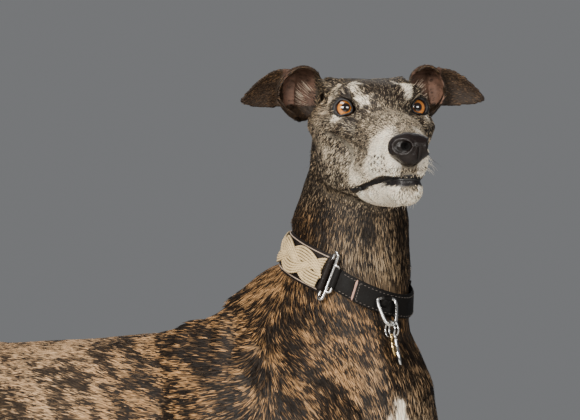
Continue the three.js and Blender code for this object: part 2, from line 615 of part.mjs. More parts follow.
function sheet(stations, side, rows, cols) {
  const faces = sheetRows(stations, side, rows, cols);
  const id = (s, i, j) => s * rows * cols + i * cols + j;
  const index = [];
  const quad = (a, b, c, d) => index.push(a, b, c, a, c, d);
  for (let i = 0; i < rows - 1; i += 1) {
    for (let j = 0; j < cols - 1; j += 1) {
      quad(id(0, i, j), id(0, i, j + 1), id(0, i + 1, j + 1), id(0, i + 1, j));
      quad(id(1, i, j), id(1, i + 1, j), id(1, i + 1, j + 1), id(1, i, j + 1));
    }
    quad(id(1, i, 0), id(0, i, 0), id(0, i + 1, 0), id(1, i + 1, 0));
    quad(id(0, i, cols - 1), id(1, i, cols - 1), id(1, i + 1, cols - 1), id(0, i + 1, cols - 1));
  }
  const last = rows - 1;
  for (let j = 0; j < cols - 1; j += 1) {
    quad(id(1, 0, j), id(1, 0, j + 1), id(0, 0, j + 1), id(0, 0, j));
    quad(id(0, last, j), id(0, last, j + 1), id(1, last, j + 1), id(1, last, j));
  }
  return closed(faces.flat(), index);
}

// The right ear opens a little wider than the left one, and both stand slightly out from the skull.
const cup = (side) => CUP.map((s) => ({
  ...s,
  c: s.c.clone().add(v3(0, side < 0 ? 2 : 2.5, 0)),
  half: s.half * (side < 0 ? 1.1 : 0.86),
}));

// The room the cup takes in the head, with its clearance.
function earWell(side) {
  const grown = cup(side).slice(0, 5).map((s) => ({ ...s, t: s.t + 2.6 * GAP }));
  const outer = sheetRows(grown, side, 8, 8)[0];
  const ahead = outer.map((p) => v3(p.x + HOLLOW_ROOM, p.y, p.z));
  const below = outer.slice(0, 8).map((p) => v3(p.x, p.y, p.z - 1));
  const points = [...outer, ...ahead, ...below];
  return solid(new ConvexGeometry(points));
}
const ear = (side) => sheet(cup(side), side, 9, 8).add(sheet(LEAF, side, 7, 5));
let head = part(headCast, SKULL_CUT.o, SKULL_CUT.n)[0]
  .subtract(belowMouth(GAP / 2)).subtract(noseSocket);
[1, -1].forEach((s) => {
  const [shell, opening] = lids(s);
  head = head.add(shell).subtract(opening).subtract(eyeball(s, GAP)).subtract(earWell(s));
});
const headKeep = castRings(headRings, headAndNeck, HEAD_SIDES, { grow: GAP * 1.3, poles: [false, true] });
const headGrown = [1, -1].reduce((piece, s) => piece.subtract(earWell(s)), headKeep);
add("head", head, "face", headPlace);
const neckKeep = castRings(neckRings, neckAndHead, 24, { grow: GAP * 1.3 });
const neckGrown = neckKeep.transform([...toHead.elements]);
[[1, "left"], [-1, "right"]].forEach(([s, name]) => {
  add(`eye_${name}`, eyeball(s, 0), "eye", headPlace);
  add(`ear_${name}`, ear(s).subtract(headGrown).subtract(neckGrown), "coat", headPlace);
});

add("neck", neckSolid, "coat");
add("chest", chest, "coat");
add("loin", loin, "coat");
add("rump", rump, "coat");

// Legs: rings square to the leg's own line. Stations run from the body to the foot.
function limbRings(stations, counts) {
  const curve = new THREE.CatmullRomCurve3(stations.map((s) => s[0].clone()));
  return Array.from({ length: counts }, (_, i) => {
    const t = i / (counts - 1);
    const level = Math.max(0, 1 - t * 7);
    const n = curve.getTangent(t).negate().lerp(v3(0, 0, 1), level);
    return tiltedRing(curve.getPoint(t), n, v3(0, 1, 0));
  }).reverse();
}

// Paws: four arched toes in front of a heel pad, all flat where they meet the floor.
const TOES = [
  { y: -19, reach: 74, r: 8.2 },
  { y: -6.8, reach: 90, r: 8.6 },
  { y: 6.8, reach: 90, r: 8.6 },
  { y: 19, reach: 74, r: 8.2 },
];
const PAW_CUT = 50; // height where the paw meets the leg
function pawPieces(at, s, long) {
  const y0 = s * LEG_SPREAD;
  const place = (x, y, z) => v3(at + x * long, y0 + y, z);
  const masses = [
    mass(place(-6, 0, 62), place(6, 0, 34), [16, 15], [20, 17], 8),
    mass(place(4, 0, 34), place(6, 0, 12), [16, 14], [15, 13], 8),
    lump(place(14, 0, 11), v3(22, 19, 14), 8),
    mass(place(30, 0, 16), place(54, 0, 10), [19, 15], [16, 12], 8),
    ...TOES.flatMap(({ y, reach, r }) => [
      mass(place(6, y * 0.7, 36), place(reach - 42, y, 29), [r, r + 2], [r, r + 1], 4),
      mass(place(reach - 42, y, 29), place(reach - 24, y * 1.04, 10), [r, r + 1], [r, r], 4),
      mass(place(reach - 27, y * 1.04, 9), place(reach - 19, y * 1.05, 8), [r, r - 1], [r - 1, r - 2], 4),
    ]),
  ];
  const form = together(masses);
  const rings = [-7, -3, 3, 10, 19, 28, 37, 46, 54, 61, 67].map((x) => tiltedRing(
    place(x, 0, mix(22, 9, THREE.MathUtils.smoothstep(x, 36, 62))), v3(1, 0, 0), v3(0, 1, 0),
  ));
  const claws = TOES.map(({ y, reach }) => {
    const claw = new THREE.ConeGeometry(3.1, 21, 5).rotateZ(-Math.PI / 2).scale(1, 0.85, 1);
    const aim = new THREE.Matrix4().compose(
      place(reach - 11, y * 1.07, 9.2),
      new THREE.Quaternion().setFromEuler(new THREE.Euler(0, 0.48, 0)),
      v3(1, 1, 1),
    );
    return solid(claw, aim);
  });
  return { form, rings, claws };
}

function leg(s, name) {
  const side = name;
  const fore = forelegForm(s);
  const hind = hindlegForm(s);
  [
    ["fore", fore, FORELEG, 19, 12, 42, 1, FORE_CARPUS - 16, ["forearm", "front_pastern", "front_paw"]],
    ["hind", hind, HINDLEG, 21, 12, -522, 0.97, HOCK - 30, ["thigh", "rear_pastern", "rear_paw"]],
  ].forEach(([which, form, stations, count, sides, pawAt, long, jointHeight, names]) => {
    const paw = pawPieces(pawAt, s, long);
    const whole = (p) => melt(form(p), paw.form(p), 8);
    const path = stations.map(([p]) => [ofSide(s)(p)]);
    if (which === "hind") path.splice(0, 5, ...THIGH_AXIS.map((p) => [ofSide(s)(p)]));
    const bodied = (p) => melt(whole(p), bodyForm(p), which === "hind" ? 26 : 16);
    let limb = castRings(limbRings(path, count), bodied, sides, { limit: which === "hind" ? 120 : 44 });
    if (which === "fore") limb = limb.subtract(chestGrown);
    else limb = limb.subtract(loinGrown);
    const [aboveJoint, belowJoint] = part(limb, v3(0, 0, jointHeight), v3(0, 0, 1));
    const pastern = part(belowJoint, v3(0, 0, PAW_CUT), v3(0, 0, 1))[0];
    if (which === "hind") {
      const [thigh, gaskin] = part(aboveJoint, v3(-388, 0, 372), v3(0.35, 0, 0.94));
      add(`thigh_${side}`, thigh, "coat");
      add(`lower_thigh_${side}`, gaskin, "coat");
    } else add(`forearm_${side}`, aboveJoint, "coat");
    add(`${names[1]}_${side}`, pastern, "coat");
    let foot = castRings(paw.rings, whole, 14, { poles: [true, true] });
    foot = part(foot, v3(0, 0, PAW_CUT), v3(0, 0, 1))[1];
    paw.claws.forEach((claw) => {
      foot = foot.add(claw);
    });
    add(`${names[2]}_${side}`, keepAhead(foot, v3(0, 0, 0), v3(0, 0, 1)), "coat");
  });
}
leg(1, "left");
leg(-1, "right");

// Tail: hangs behind the thighs and hooks up a little at its tip.
const tailForm = tailMass.form;
const tailCurve = new THREE.CatmullRomCurve3(TAIL.map(([p]) => p.clone()));
const tailRings = steps(0, 0.998, 26).map((t) => tiltedRing(
  tailCurve.getPoint(t), tailCurve.getTangent(t), v3(0, 1, 0),
));
const rumpGrown = castRings(rumpRings, hindBody, TRUNK_SIDES, { grow: GAP * 1.3, poles: [true, false] });
const tailWhole = largest(castRings(tailRings, tailForm, 10, { poles: [false, true] }).subtract(rumpGrown));
const TAIL_CUTS = [0.42, 0.72];
const cutAt = TAIL_CUTS.map((t) => [tailCurve.getPoint(t), tailCurve.getTangent(t)]);
const [beyondRoot, tailRoot] = part(tailWhole, ...cutAt[0]);
const [tailTip, tailMiddle] = part(beyondRoot, ...cutAt[1]);
add("tail_root", tailRoot, "coat");
add("tail_middle", tailMiddle, "coat");
add("tail_tip", tailTip, "coat");

// Collar: a ring frame round the neck. Turn 0 is the throat, and turns run towards the dog's right.
const collarUp = v3(Math.sin(deg(COLLAR_TILT)), 0, Math.cos(deg(COLLAR_TILT)));
const collarFront = v3(Math.cos(deg(COLLAR_TILT)), 0, -Math.sin(deg(COLLAR_TILT)));
const CLEAR = 1.3; // room between the neck and the leather
const SLIDE_TURN = [66, -54]; // where the slides sit, in degrees
const RING_TURN = 19; // where the lead ring hangs
const around = (turn) => collarFront.clone().multiplyScalar(Math.cos(deg(turn)))
  .addScaledVector(v3(0, -1, 0), Math.sin(deg(turn)));
const REACH_AT = [-14, 14]; // heights where the neck is measured
const neckReach = REACH_AT.map((h) => steps(0, 350, 36).map((turn) => castOut(
  COLLAR_AT.clone().addScaledVector(collarUp, h), around(turn), neckAndHead, 0,
)));
function reach(turn, height) {
  const f = (((turn % 360) + 360) % 360) / 10;
  const i = Math.floor(f);
  const [low, high] = neckReach.map((row) => {
    const at = (k) => Math.max(row[k % 36], (row[(k + 35) % 36] + row[(k + 1) % 36]) / 2);
    return mix(at(i), at(i + 1), f - i);
  });
  return mix(low, high, (height - REACH_AT[0]) / (REACH_AT[1] - REACH_AT[0]));
}
// A point at a turn, a height across the band and a distance out from the neck.
function onCollar(turn, height, out) {
  return COLLAR_AT.clone().addScaledVector(collarUp, height)
    .addScaledVector(around(turn), reach(turn, height) + CLEAR + out);
}
// A frame on the collar: X along it, Y up its slope, Z outwards.
function collarFrame(turn, height, out) {
  const x = onCollar(turn - 1.5, height, 0).sub(onCollar(turn + 1.5, height, 0)).normalize();
  const up = onCollar(turn, height + 5, 0).sub(onCollar(turn, height - 5, 0));
  const y = up.addScaledVector(x, -up.dot(x)).normalize();
  const z = x.clone().cross(y);
  return new THREE.Matrix4().makeBasis(x, y, z).setPosition(onCollar(turn, height, out));
}

// A strip of leather between two turns, its height and sag given along it.
function strip(from, to, count, height, thick, out = 0, drop = () => 0) {
  const points = [];
  for (let i = 0; i < count; i += 1) {
    const t = i / (count - 1);
    const turn = mix(from, to, t);
    const h = height / 2;
    [[-h, 0], [h, 0], [h, thick], [-h, thick]].forEach(([z, o]) => {
      points.push(onCollar(turn, z - drop(t), out + o));
    });
  }
  const index = [];
  for (let i = 0; i < count - 1; i += 1) {
    for (let j = 0; j < 4; j += 1) {
      const [a, b] = [i * 4 + j, i * 4 + ((j + 1) % 4)];
      index.push(a, b, b + 4, a, b + 4, a + 4);
    }
  }
  const e = (count - 1) * 4;
  index.push(0, 2, 1, 0, 3, 2, e, e + 1, e + 2, e, e + 2, e + 3);
  return closed(points, index);
}

// A rod bent along a closed or open line.
function rod(points, radius, segments, sides, round = true) {
  const curve = new THREE.CatmullRomCurve3(points, round, "catmullrom", 0.5);
  if (round) return solid(new THREE.TubeGeometry(curve, segments, radius, sides, true));
  const rings = steps(0, 1, segments).map((t) => [curve.getPoint(t), curve.getTangent(t)]);
  return castRings(rings.map(([o, n]) => tiltedRing(o, n, v3(0, 0, 1))), () => radius, sides);
}

const BAR = 1.6; // wire radius of the slides
const SLIDE_W = 11; // distance between the two bars of a slide
const SLIDE_H = BAND_H + 6;
const [SLIDE_NEAR, SLIDE_FAR] = SLIDE_TURN;
const barTurn = deg(1) * 62; // millimetres along the collar for each degree
const halfSlide = SLIDE_W / 2 / barTurn; // degrees from the middle of a slide to a bar
const BAR_OUT = 3.3; // how far out the bars sit

function slide(turn, grow = 0) {
  const corner = 3;
  const [w, h] = [SLIDE_W / 2, SLIDE_H / 2];
  const outline = [
    [-w, -h + corner], [-w, 0], [-w, h - corner], [-w + corner, h], [0, h], [w - corner, h],
    [w, h - corner], [w, 0], [w, -h + corner], [w - corner, -h], [0, -h], [-w + corner, -h],
  ].map(([x, y]) => v3(x, y, 0));
  return solid(
    new THREE.TubeGeometry(new THREE.CatmullRomCurve3(outline, true, "catmullrom", 0.3), 24, BAR + grow, 5, true),
    collarFrame(turn, 0, BAR_OUT),
  );
}
// The leather rolled round a bar.
function roll(turn, height, grow = 0) {
  const tube = new THREE.CylinderGeometry(3.3 + grow, 3.3 + grow, height, 9);
  return solid(tube, collarFrame(turn, 0, BAR_OUT));
}
const bandFrom = SLIDE_NEAR + halfSlide;
const bandTo = SLIDE_FAR - halfSlide + 360;
const slidesGrown = [SLIDE_NEAR, SLIDE_FAR].map((turn) => slide(turn, GAP));
let band = strip(bandFrom, bandTo, 24, BAND_H, BAND_T).add(roll(bandFrom, BAND_H - 6)).add(roll(bandTo, BAND_H - 6));
const strapFrom = SLIDE_FAR + halfSlide;
const strapTo = SLIDE_NEAR - halfSlide;
const sag = (t) => 6 * Math.sin(Math.PI * t);
let strap = strip(strapFrom, strapTo, 20, STRAP_H, 3, 0.6, sag)
  .add(strip(mix(strapFrom, strapTo, 0.6), mix(strapFrom, strapTo, 0.86), 9, STRAP_H - 1, 3, 3, (t) => sag(mix(0.6, 0.86, t))))
  .add(roll(strapFrom, STRAP_H - 2)).add(roll(strapTo, STRAP_H - 2));
[...slidesGrown, neckKeep].forEach((s) => {
  band = band.subtract(s);
  strap = strap.subtract(s);
});

// Lead ring: a rounded triangle of wire that hangs from a tab under the strap.
const ringSag = sag((RING_TURN - strapFrom) / (strapTo - strapFrom));
const RING_H = 25; // height of the ring
const outwards = around(RING_TURN).setZ(0).normalize();
const ringHeight = onCollar(RING_TURN, -ringSag + 2, 0).z;
const breastOut = (z) => castOut(v3(COLLAR_AT.x, COLLAR_AT.y, z), outwards, bodyForm, 0);
const strapOut = onCollar(RING_TURN, -ringSag, 3.6).sub(COLLAR_AT).dot(outwards) + 2;
const HANG = 78; // how far the tags reach down
const slope = Math.max(0, ...steps(ringHeight - 8, ringHeight - HANG, 10)
  .map((z) => (breastOut(z) + 8 - strapOut) / (ringHeight - z)));
// Ring and tags lie along the slope of the breast.
const hangUp = v3(0, 0, 1).addScaledVector(outwards, -slope).normalize();
const hangAcross = hangUp.clone().cross(outwards).normalize();
const ringTop = new THREE.Matrix4().makeBasis(hangAcross, hangUp, hangAcross.clone().cross(hangUp))
  .setPosition(v3(COLLAR_AT.x, COLLAR_AT.y, ringHeight).addScaledVector(outwards, strapOut));
function leadRing(grow = 0) {
  const half = [[6, 0], [9, -1.5], [9.6, -6], [8.2, -13], [5.2, -RING_H + 2.5]];
  const outline = [[0, 0], ...half, [0, -RING_H], ...half.map(([x, y]) => [-x, y]).reverse()]
    .map(([x, y]) => v3(x, y, 0));
  return solid(new THREE.TubeGeometry(
    new THREE.CatmullRomCurve3(outline, true, "catmullrom", 0.35), 20, 1.6 + grow, 5, true,
  ), ringTop);
}
const strapEdge = collarFrame(RING_TURN, -ringSag - 2, 2);
const tabEnds = [
  new THREE.CylinderGeometry(3.2, 3.2, 9, 10).rotateZ(Math.PI / 2).applyMatrix4(ringTop),
  new THREE.BoxGeometry(9, 6, 2.4).applyMatrix4(strapEdge),
].flatMap((g) => Array.from({ length: g.attributes.position.count }, (_, i) => (
  new THREE.Vector3().fromBufferAttribute(g.attributes.position, i)
)));
const tab = solid(new ConvexGeometry(tabEnds));
strap = strap.add(tab).subtract(leadRing(GAP)).subtract(neckKeep);

// Two split rings and their tags hang straight down from the lead ring.
const ringEnd = v3(0, -RING_H, 0).applyMatrix4(ringTop);
const hangFrame = (along, down, out, spin) => {
  const x = hangAcross.clone().applyAxisAngle(hangUp, deg(spin));
  return new THREE.Matrix4().makeBasis(x, hangUp, x.clone().cross(hangUp))
    .setPosition(ringEnd.clone().addScaledVector(hangAcross, along).addScaledVector(outwards, out)
      .addScaledVector(hangUp, -down));
};
const SPLIT_R = 7.2;
const splitRing = (frame) => solid(new THREE.TorusGeometry(SPLIT_R, 0.95, 4, 15), frame);
function tag(frame, wide, tall, thick) {
  const disc = new THREE.CylinderGeometry(1, 1, thick, 13).rotateX(Math.PI / 2).scale(wide, tall, 1);
  const eye = new THREE.CylinderGeometry(3.8, 3.8, thick, 10).rotateX(Math.PI / 2).translate(0, tall + 1.4, 0);
  const hole = new THREE.CylinderGeometry(2.5, 2.5, thick * 3, 8).rotateX(Math.PI / 2)
    .translate(0, tall + 2, 0);
  return solid(disc, frame).add(solid(eye, frame)).subtract(solid(hole, frame));
}
const splitDrop = SPLIT_R - 3.2;

// Plait: three flat strands, each a bundle of cords, cross over and under along the band.
const PLAIT_LENGTH = 76; // one full crossing pattern
const STRAND = { wide: 5.3, thick: 1.15 };
const SWING = { across: 10.6, over: 1.1 };
const plaitFrom = bandFrom + 4.5;
const plaitTo = bandTo - 4.5;
const plaitCount = Math.round(((plaitTo - plaitFrom) * barTurn) / PLAIT_LENGTH);
function strand(k) {
  const phase = (t) => t * plaitCount * 2 * Math.PI + (k * 2 * Math.PI) / 3;
  const at = (t) => onCollar(
    mix(plaitFrom, plaitTo, t),
    SWING.across * Math.sin(phase(t)),
    BAND_T + GAP + SWING.over + STRAND.thick + SWING.over * Math.sin(2 * phase(t)),
  );
  const COUNT = 6 * plaitCount + 1;
  const SIDES = 5;
  const points = [];
  steps(0, 1, COUNT).forEach((t) => {
    const o = at(t);
    const run = at(Math.min(t + 0.002, 1)).sub(at(Math.max(t - 0.002, 0))).normalize();
    const out = around(mix(plaitFrom, plaitTo, t));
    out.addScaledVector(run, -out.dot(run)).normalize();
    const across = run.clone().cross(out).normalize();
    for (let j = 0; j < SIDES; j += 1) {
      const a = ((j + 0.5) / SIDES) * 2 * Math.PI;
      points.push(o.clone().addScaledVector(across, Math.cos(a) * STRAND.wide * 1.1)
        .addScaledVector(out, Math.sin(a) * STRAND.thick * 1.1));
    }
  });
  const index = [];
  for (let i = 0; i < COUNT - 1; i += 1) {
    for (let j = 0; j < SIDES; j += 1) {
      const [a, b] = [i * SIDES + j, i * SIDES + ((j + 1) % SIDES)];
      index.push(a, b, b + SIDES, a, b + SIDES, a + SIDES);
    }
  }
  for (let j = 1; j < SIDES - 1; j += 1) {
    const e = (COUNT - 1) * SIDES;
    index.push(0, j + 1, j, e, e + j, e + j + 1);
  }
  return closed(points, index);
}
const bandGrown = strip(bandFrom - 6, bandTo + 6, 28, BAND_H + 4, BAND_T + GAP * 2);
const plait = strand(0).add(strand(1)).add(strand(2)).subtract(bandGrown)
  .subtract(roll(bandFrom, BAND_H, GAP * 1.2)).subtract(roll(bandTo, BAND_H, GAP * 1.2));

add("collar_band", band, "leather");
add("collar_plait", plait, "plait");
add("collar_strap", strap, "leather");
add("slide_right", slide(SLIDE_NEAR), "steel");
add("slide_left", slide(SLIDE_FAR), "steel");
add("lead_ring", leadRing(), "steel");
add("split_ring_right", splitRing(hangFrame(-2, splitDrop, 0, 90)), "steel");
add("split_ring_left", splitRing(hangFrame(2, splitDrop, 0, 90)), "steel");
add("tag_round", tag(hangFrame(-2, splitDrop + SPLIT_R + 11, 0, 48), 9, 9, 1.1), "brass");
add("tag_long", tag(hangFrame(2, splitDrop + SPLIT_R + 15, 0, 48), 5, 13, 1.1), "steel");

// The dog is set down with its bounding box centred over the origin.
const box = new THREE.Box3().setFromObject(dog, true);
const middle = box.getCenter(v3(0, 0, 0));
dog.position.set(-middle.x, -middle.y, -box.min.z);
dog.updateMatrixWorld(true);

export default dog;
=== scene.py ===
# %% [markdown]
# # A standing brindle greyhound, life size
#
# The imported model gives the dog's solids: flat-sided forms for the flesh, round eyes, and a collar of
# leather, plait and wire. This lesson turns them into a dressed model. One smooth skin takes the place
# of the flesh, short fur lies on it, and the eyes, nose, claws, whiskers and collar are each finished
# as the thing they are.

# %% Load the frame
import math

import bmesh
import bpy
import numpy as np
from mathutils import Matrix, Vector
from mathutils.bvhtree import BVHTree


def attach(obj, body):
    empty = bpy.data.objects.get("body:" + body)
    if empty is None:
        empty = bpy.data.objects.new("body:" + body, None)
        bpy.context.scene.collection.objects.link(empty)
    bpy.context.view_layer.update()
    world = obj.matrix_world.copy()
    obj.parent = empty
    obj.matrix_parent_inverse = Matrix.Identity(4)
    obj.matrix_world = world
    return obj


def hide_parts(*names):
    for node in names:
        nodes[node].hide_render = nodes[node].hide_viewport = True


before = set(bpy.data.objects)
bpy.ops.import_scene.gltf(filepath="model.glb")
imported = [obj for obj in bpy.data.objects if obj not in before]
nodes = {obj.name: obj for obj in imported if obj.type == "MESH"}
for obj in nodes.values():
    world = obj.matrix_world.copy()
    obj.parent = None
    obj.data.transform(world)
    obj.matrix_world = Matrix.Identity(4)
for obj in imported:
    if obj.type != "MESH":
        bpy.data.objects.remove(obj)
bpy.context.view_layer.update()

# %% [markdown]
# ## Two frames to work in
#
# The body's measures are easiest in the dog's own frame: millimetres, the nose end towards +X, the
# floor at height 0. The head is turned to look past the camera, so it has a frame of its own, with its
# origin between the eyes, +X along the muzzle, +Y to the dog's left and +Z up through the skull.

# %% The dog's frame and the head's frame
MM = 0.001
DOG = np.array([158.667, 29.566, 0.0])
EYES = np.array([403.668, -42.431, 894.0])
HEAD_TURN = np.array(
    Matrix.Rotation(math.radians(-43), 3, "Z")
    @ Matrix.Rotation(math.radians(7.5), 3, "Y")
    @ Matrix.Rotation(math.radians(2), 3, "X")
)


def to_dog(points):
    """Model metres to the dog's millimetres."""
    return np.asarray(points) / MM - DOG


def to_head(points):
    """Model metres to the head's millimetres."""
    return (np.asarray(points) / MM - EYES) @ HEAD_TURN


def from_dog(points):
    """The dog's millimetres to model metres."""
    return (np.asarray(points, float) + DOG) * MM


def from_head(points):
    """The head's millimetres to model metres."""
    return (np.asarray(points, float) @ HEAD_TURN.T + EYES) * MM


print("between the eyes:", from_head([[0, 0, 0]])[0])

# %% [markdown]
# ## Camera, floor and light
#
# The camera stands where the photographer stood: to the dog's right and below its eyes, with a long
# lens. The floor is plain and pale. A broad light stands to the camera's left, a weaker one to its
# right and one above, and a faint one behind draws the back's edge.

# %% Camera
def shown(name, data):
    """A new object in the scene, of that mesh, camera or light."""
    piece = bpy.data.objects.new(name, data)
    bpy.context.scene.collection.objects.link(piece)
    return piece


VIEW_TURN = math.radians(35)  # from the model's -Y side towards its nose end
EYE_DISTANCE = 1.9
CAMERA_HIGH = 0.6
AIM_TURN = 2.43  # degrees left of the eyes
AIM_RISE = 6.118
LOOK = np.array([math.sin(VIEW_TURN), -math.cos(VIEW_TURN), 0.0])
camera = shown("Camera", bpy.data.cameras.new("Camera"))
camera.data.lens = 135.6
camera.data.sensor_width = 36
camera.data.clip_start = 0.05
aim = Vector(-LOOK)
aim.rotate(Matrix.Rotation(math.radians(AIM_TURN), 3, "Z"))
aim.z = math.tan(math.radians(AIM_RISE))
camera.location = Vector(EYES * MM + LOOK * EYE_DISTANCE)
camera.location.z = CAMERA_HIGH
camera.rotation_euler = aim.to_track_quat("-Z", "Y").to_euler()
bpy.context.scene.camera = camera
print("camera:", [round(part, 3) for part in camera.location])

# %% Floor and lights
FLOOR_REACH = 9
floor_mesh = bpy.data.meshes.new("Floor")
corners = [(x * FLOOR_REACH, y * FLOOR_REACH, 0) for x, y in ((-1, -1), (1, -1), (1, 1), (-1, 1))]
floor_mesh.from_pydata(corners, [], [(0, 1, 2, 3)])
floor = shown("Floor", floor_mesh)
floor_paint = bpy.data.materials.new("Pale floor")
floor_paint.use_nodes = True
floor_shader = floor_paint.node_tree.nodes["Principled BSDF"]
floor_shader.inputs["Base Color"].default_value = (0.62, 0.6, 0.57, 1)
floor_shader.inputs["Roughness"].default_value = 0.75
floor_mesh.materials.append(floor_paint)


def softbox(name, at, target, size, watts, tint=(1, 1, 1)):
    """A wide studio light that faces its target."""
    lamp = bpy.data.lights.new(name, "AREA")
    lamp.shape = "RECTANGLE"
    lamp.size = size
    lamp.size_y = 0.6 * size
    lamp.energy = watts
    lamp.color = tint
    stand = shown(name, lamp)
    stand.location = at
    stand.rotation_euler = (Vector(target) - Vector(at)).to_track_quat("-Z", "Y").to_euler()


FACE = Vector(EYES * MM)
softbox("Left window", (0.6, -2.2, 1.3), FACE, 1.1, 68, (1, 0.97, 0.91))
softbox("Right window", (2.27, -1.0, 1.2), FACE, 0.9, 26, (1, 0.97, 0.92))
softbox("Sky", (0.2, -1.3, 2.9), FACE, 1.4, 46, (1, 0.97, 0.93))
softbox("Rim", (-0.9, 1.9, 2.1), (0, 0, 0.6), 1.2, 5)
world = bpy.data.worlds.new("Studio")
world.use_nodes = True
world.node_tree.nodes["Background"].inputs["Color"].default_value = (0.9, 0.92, 0.95, 1)
world.node_tree.nodes["Background"].inputs["Strength"].default_value = 0.2
bpy.context.scene.world = world

# %% [markdown]
# ## The skin
#
# The solids have flat facets and thin gaps where they meet. A real dog has one skin over all of it, so
# copies of the flesh are swelled until they meet, remeshed into an even net, and eased until the facets
# are gone. The head is remeshed finely, because lids, lips and ears need it, and the body more coarsely.
# Both nets are thinned where nothing small happens, and they are sewn together under the collar.

# %% Helpers for meshes as arrays
HEAD_FLESH = ["head", "lower_jaw", "ear_left", "ear_right", "neck"]
BODY_FLESH = ["neck", "chest", "loin", "rump", "tail_root", "tail_middle", "tail_tip"]
LEG_FLESH = [
    f"{part}_{side}"
    for side in ("left", "right")
    for part in (
        "forearm", "front_pastern", "front_paw", "thigh", "lower_thigh", "rear_pastern", "rear_paw",
    )
]


def rows_of(items, key, wide=3, kind=np.float32):
    """What a mesh stores under a key, one row for each item."""
    flat = np.empty(len(items) * wide, kind)
    items.foreach_get(key, flat)
    return flat.reshape(-1, wide)


def coordinates(mesh):
    """The places of a mesh's points."""
    return rows_of(mesh.vertices, "co").astype(float)


def normals(mesh):
    """The outward directions at a mesh's points."""
    return rows_of(mesh.vertex_normals, "vector").astype(float)


def edge_ends(mesh):
    """The two point numbers of each edge."""
    return rows_of(mesh.edges, "vertices", 2, np.int32)


def place(mesh, points):
    """Puts a mesh's points where the rows say."""
    mesh.vertices.foreach_set("co", np.ascontiguousarray(points, np.float32).ravel())
    mesh.update()


def settled(piece):
    """The piece's mesh with its modifiers applied, and the piece itself gone."""
    graph = bpy.context.evaluated_depsgraph_get()
    mesh = bpy.data.meshes.new_from_object(piece.evaluated_get(graph))
    bpy.data.objects.remove(piece)
    return mesh


# %% Helpers for rows of numbers
def smoothstep(low, high, value):
    """0 below low, 1 above high, and a soft rise between."""
    t = np.clip((value - low) / (high - low), 0, 1)
    return t * t * (3 - 2 * t)


def towards(value, goal, share):
    """The value drawn towards a goal."""
    return value + (goal - value) * share


def unit(rows):
    """Rows scaled to length one."""
    return rows / np.maximum(np.linalg.norm(rows, axis=-1, keepdims=True), 1e-12)


def mirrored(at):
    """Places with the right side folded onto the left."""
    return np.stack([at[:, 0], np.abs(at[:, 1]), at[:, 2]], axis=1)


def eased(points, ends, rounds, strength, keep_size=True):
    """Draws each point towards its neighbours' middle, then back, so that forms don't shrink."""
    count = len(points)
    number = np.maximum(np.bincount(ends.ravel(), minlength=count), 1)[:, None]
    for _ in range(rounds):
        for pull in ((0.62, -0.64) if keep_size else (0.6,)):
            middle = np.empty_like(points)
            for k in range(3):
                column = points[:, k]
                middle[:, k] = np.bincount(ends[:, 0], column[ends[:, 1]], count)
                middle[:, k] += np.bincount(ends[:, 1], column[ends[:, 0]], count)
            points = points + pull * strength[:, None] * (middle / number - points)
    return points


# %% Remesh the flesh
def flesh(names, voxel, swell):
    """The named solids, swelled until they meet, as one even net."""
    whole = bmesh.new()
    for name in names:
        solid = bmesh.new()
        solid.from_mesh(nodes[name].data)
        bmesh.ops.remove_doubles(solid, verts=solid.verts, dist=1e-6)
        solid.normal_update()
        for vert in solid.verts:
            vert.co += vert.normal * swell
        loose = bpy.data.meshes.new("loose")
        solid.to_mesh(loose)
        whole.from_mesh(loose)
        solid.free()
        bpy.data.meshes.remove(loose)
    mesh = bpy.data.meshes.new("flesh")
    whole.to_mesh(mesh)
    whole.free()
    piece = shown("flesh", mesh)
    even = piece.modifiers.new("Even net", "REMESH")
    even.mode = "VOXEL"
    even.voxel_size = voxel
    even.use_smooth_shade = True
    return settled(piece)


def thinned(net, fine, ratio):
    """The net with fewer faces, except where fine is true."""
    piece = shown("thinning", net)
    free = piece.vertex_groups.new(name="Free")
    free.add(np.nonzero(~fine)[0].tolist(), 1.0, "REPLACE")
    thin = piece.modifiers.new("Thin", "DECIMATE")
    thin.ratio = ratio
    thin.vertex_group = "Free"
    thin.vertex_group_factor = 1.0
    return settled(piece)


head_net = flesh(HEAD_FLESH, voxel=0.0015, swell=0.00025)
body_net = flesh(BODY_FLESH + LEG_FLESH, voxel=0.0032, swell=0.0003)
print("even nets:", len(head_net.vertices), "points on the head,", len(body_net.vertices), "on the body")

# %% [markdown]
# Easing removes the facets. It works hardest on cheeks, neck and trunk, and gently where the solids
# have small forms that must stay: the lids, the lips, the thin ears and the toes.

# %% Ease the facets away
def eye_at(side):
    """The middle of one eye, in the head's millimetres: side is 1 on the left and -1 on the right."""
    return np.array([-9.0, 31.5 * side, -1.0])


def near_eyes(at):
    """The distance to the nearer eye's middle, in the head's millimetres."""
    return np.min([np.linalg.norm(at - eye_at(side), axis=1) for side in (1, -1)], axis=0)


def mouth_height(x):
    """The height of the mouth's line along the muzzle, in the head's millimetres."""
    return np.interp(x, [12, 40, 54, 78, 104, 130], [-73, -67, -64, -61, -60.5, -61])


def ear_share(at):
    """1 on the ears and 0 on the skull, in the head's frame."""
    side = np.abs(at[:, 1])
    return smoothstep(40, 47, side) * smoothstep(-58, -66, at[:, 0]) * smoothstep(-22, -8, at[:, 2])


at = to_head(coordinates(head_net))
ends = edge_ends(head_net)
in_lids = smoothstep(24, 14, near_eyes(at))
in_lips = smoothstep(7, 2, np.abs(at[:, 2] - mouth_height(at[:, 0]))) * smoothstep(5, 25, at[:, 0])
on_ears = ear_share(at)
small = np.maximum.reduce([in_lids, in_lips, on_ears])
points = eased(coordinates(head_net), ends, rounds=44, strength=1 - small)
points = eased(points, ends, rounds=7, strength=1 - 0.65 * in_lids)
place(head_net, points)

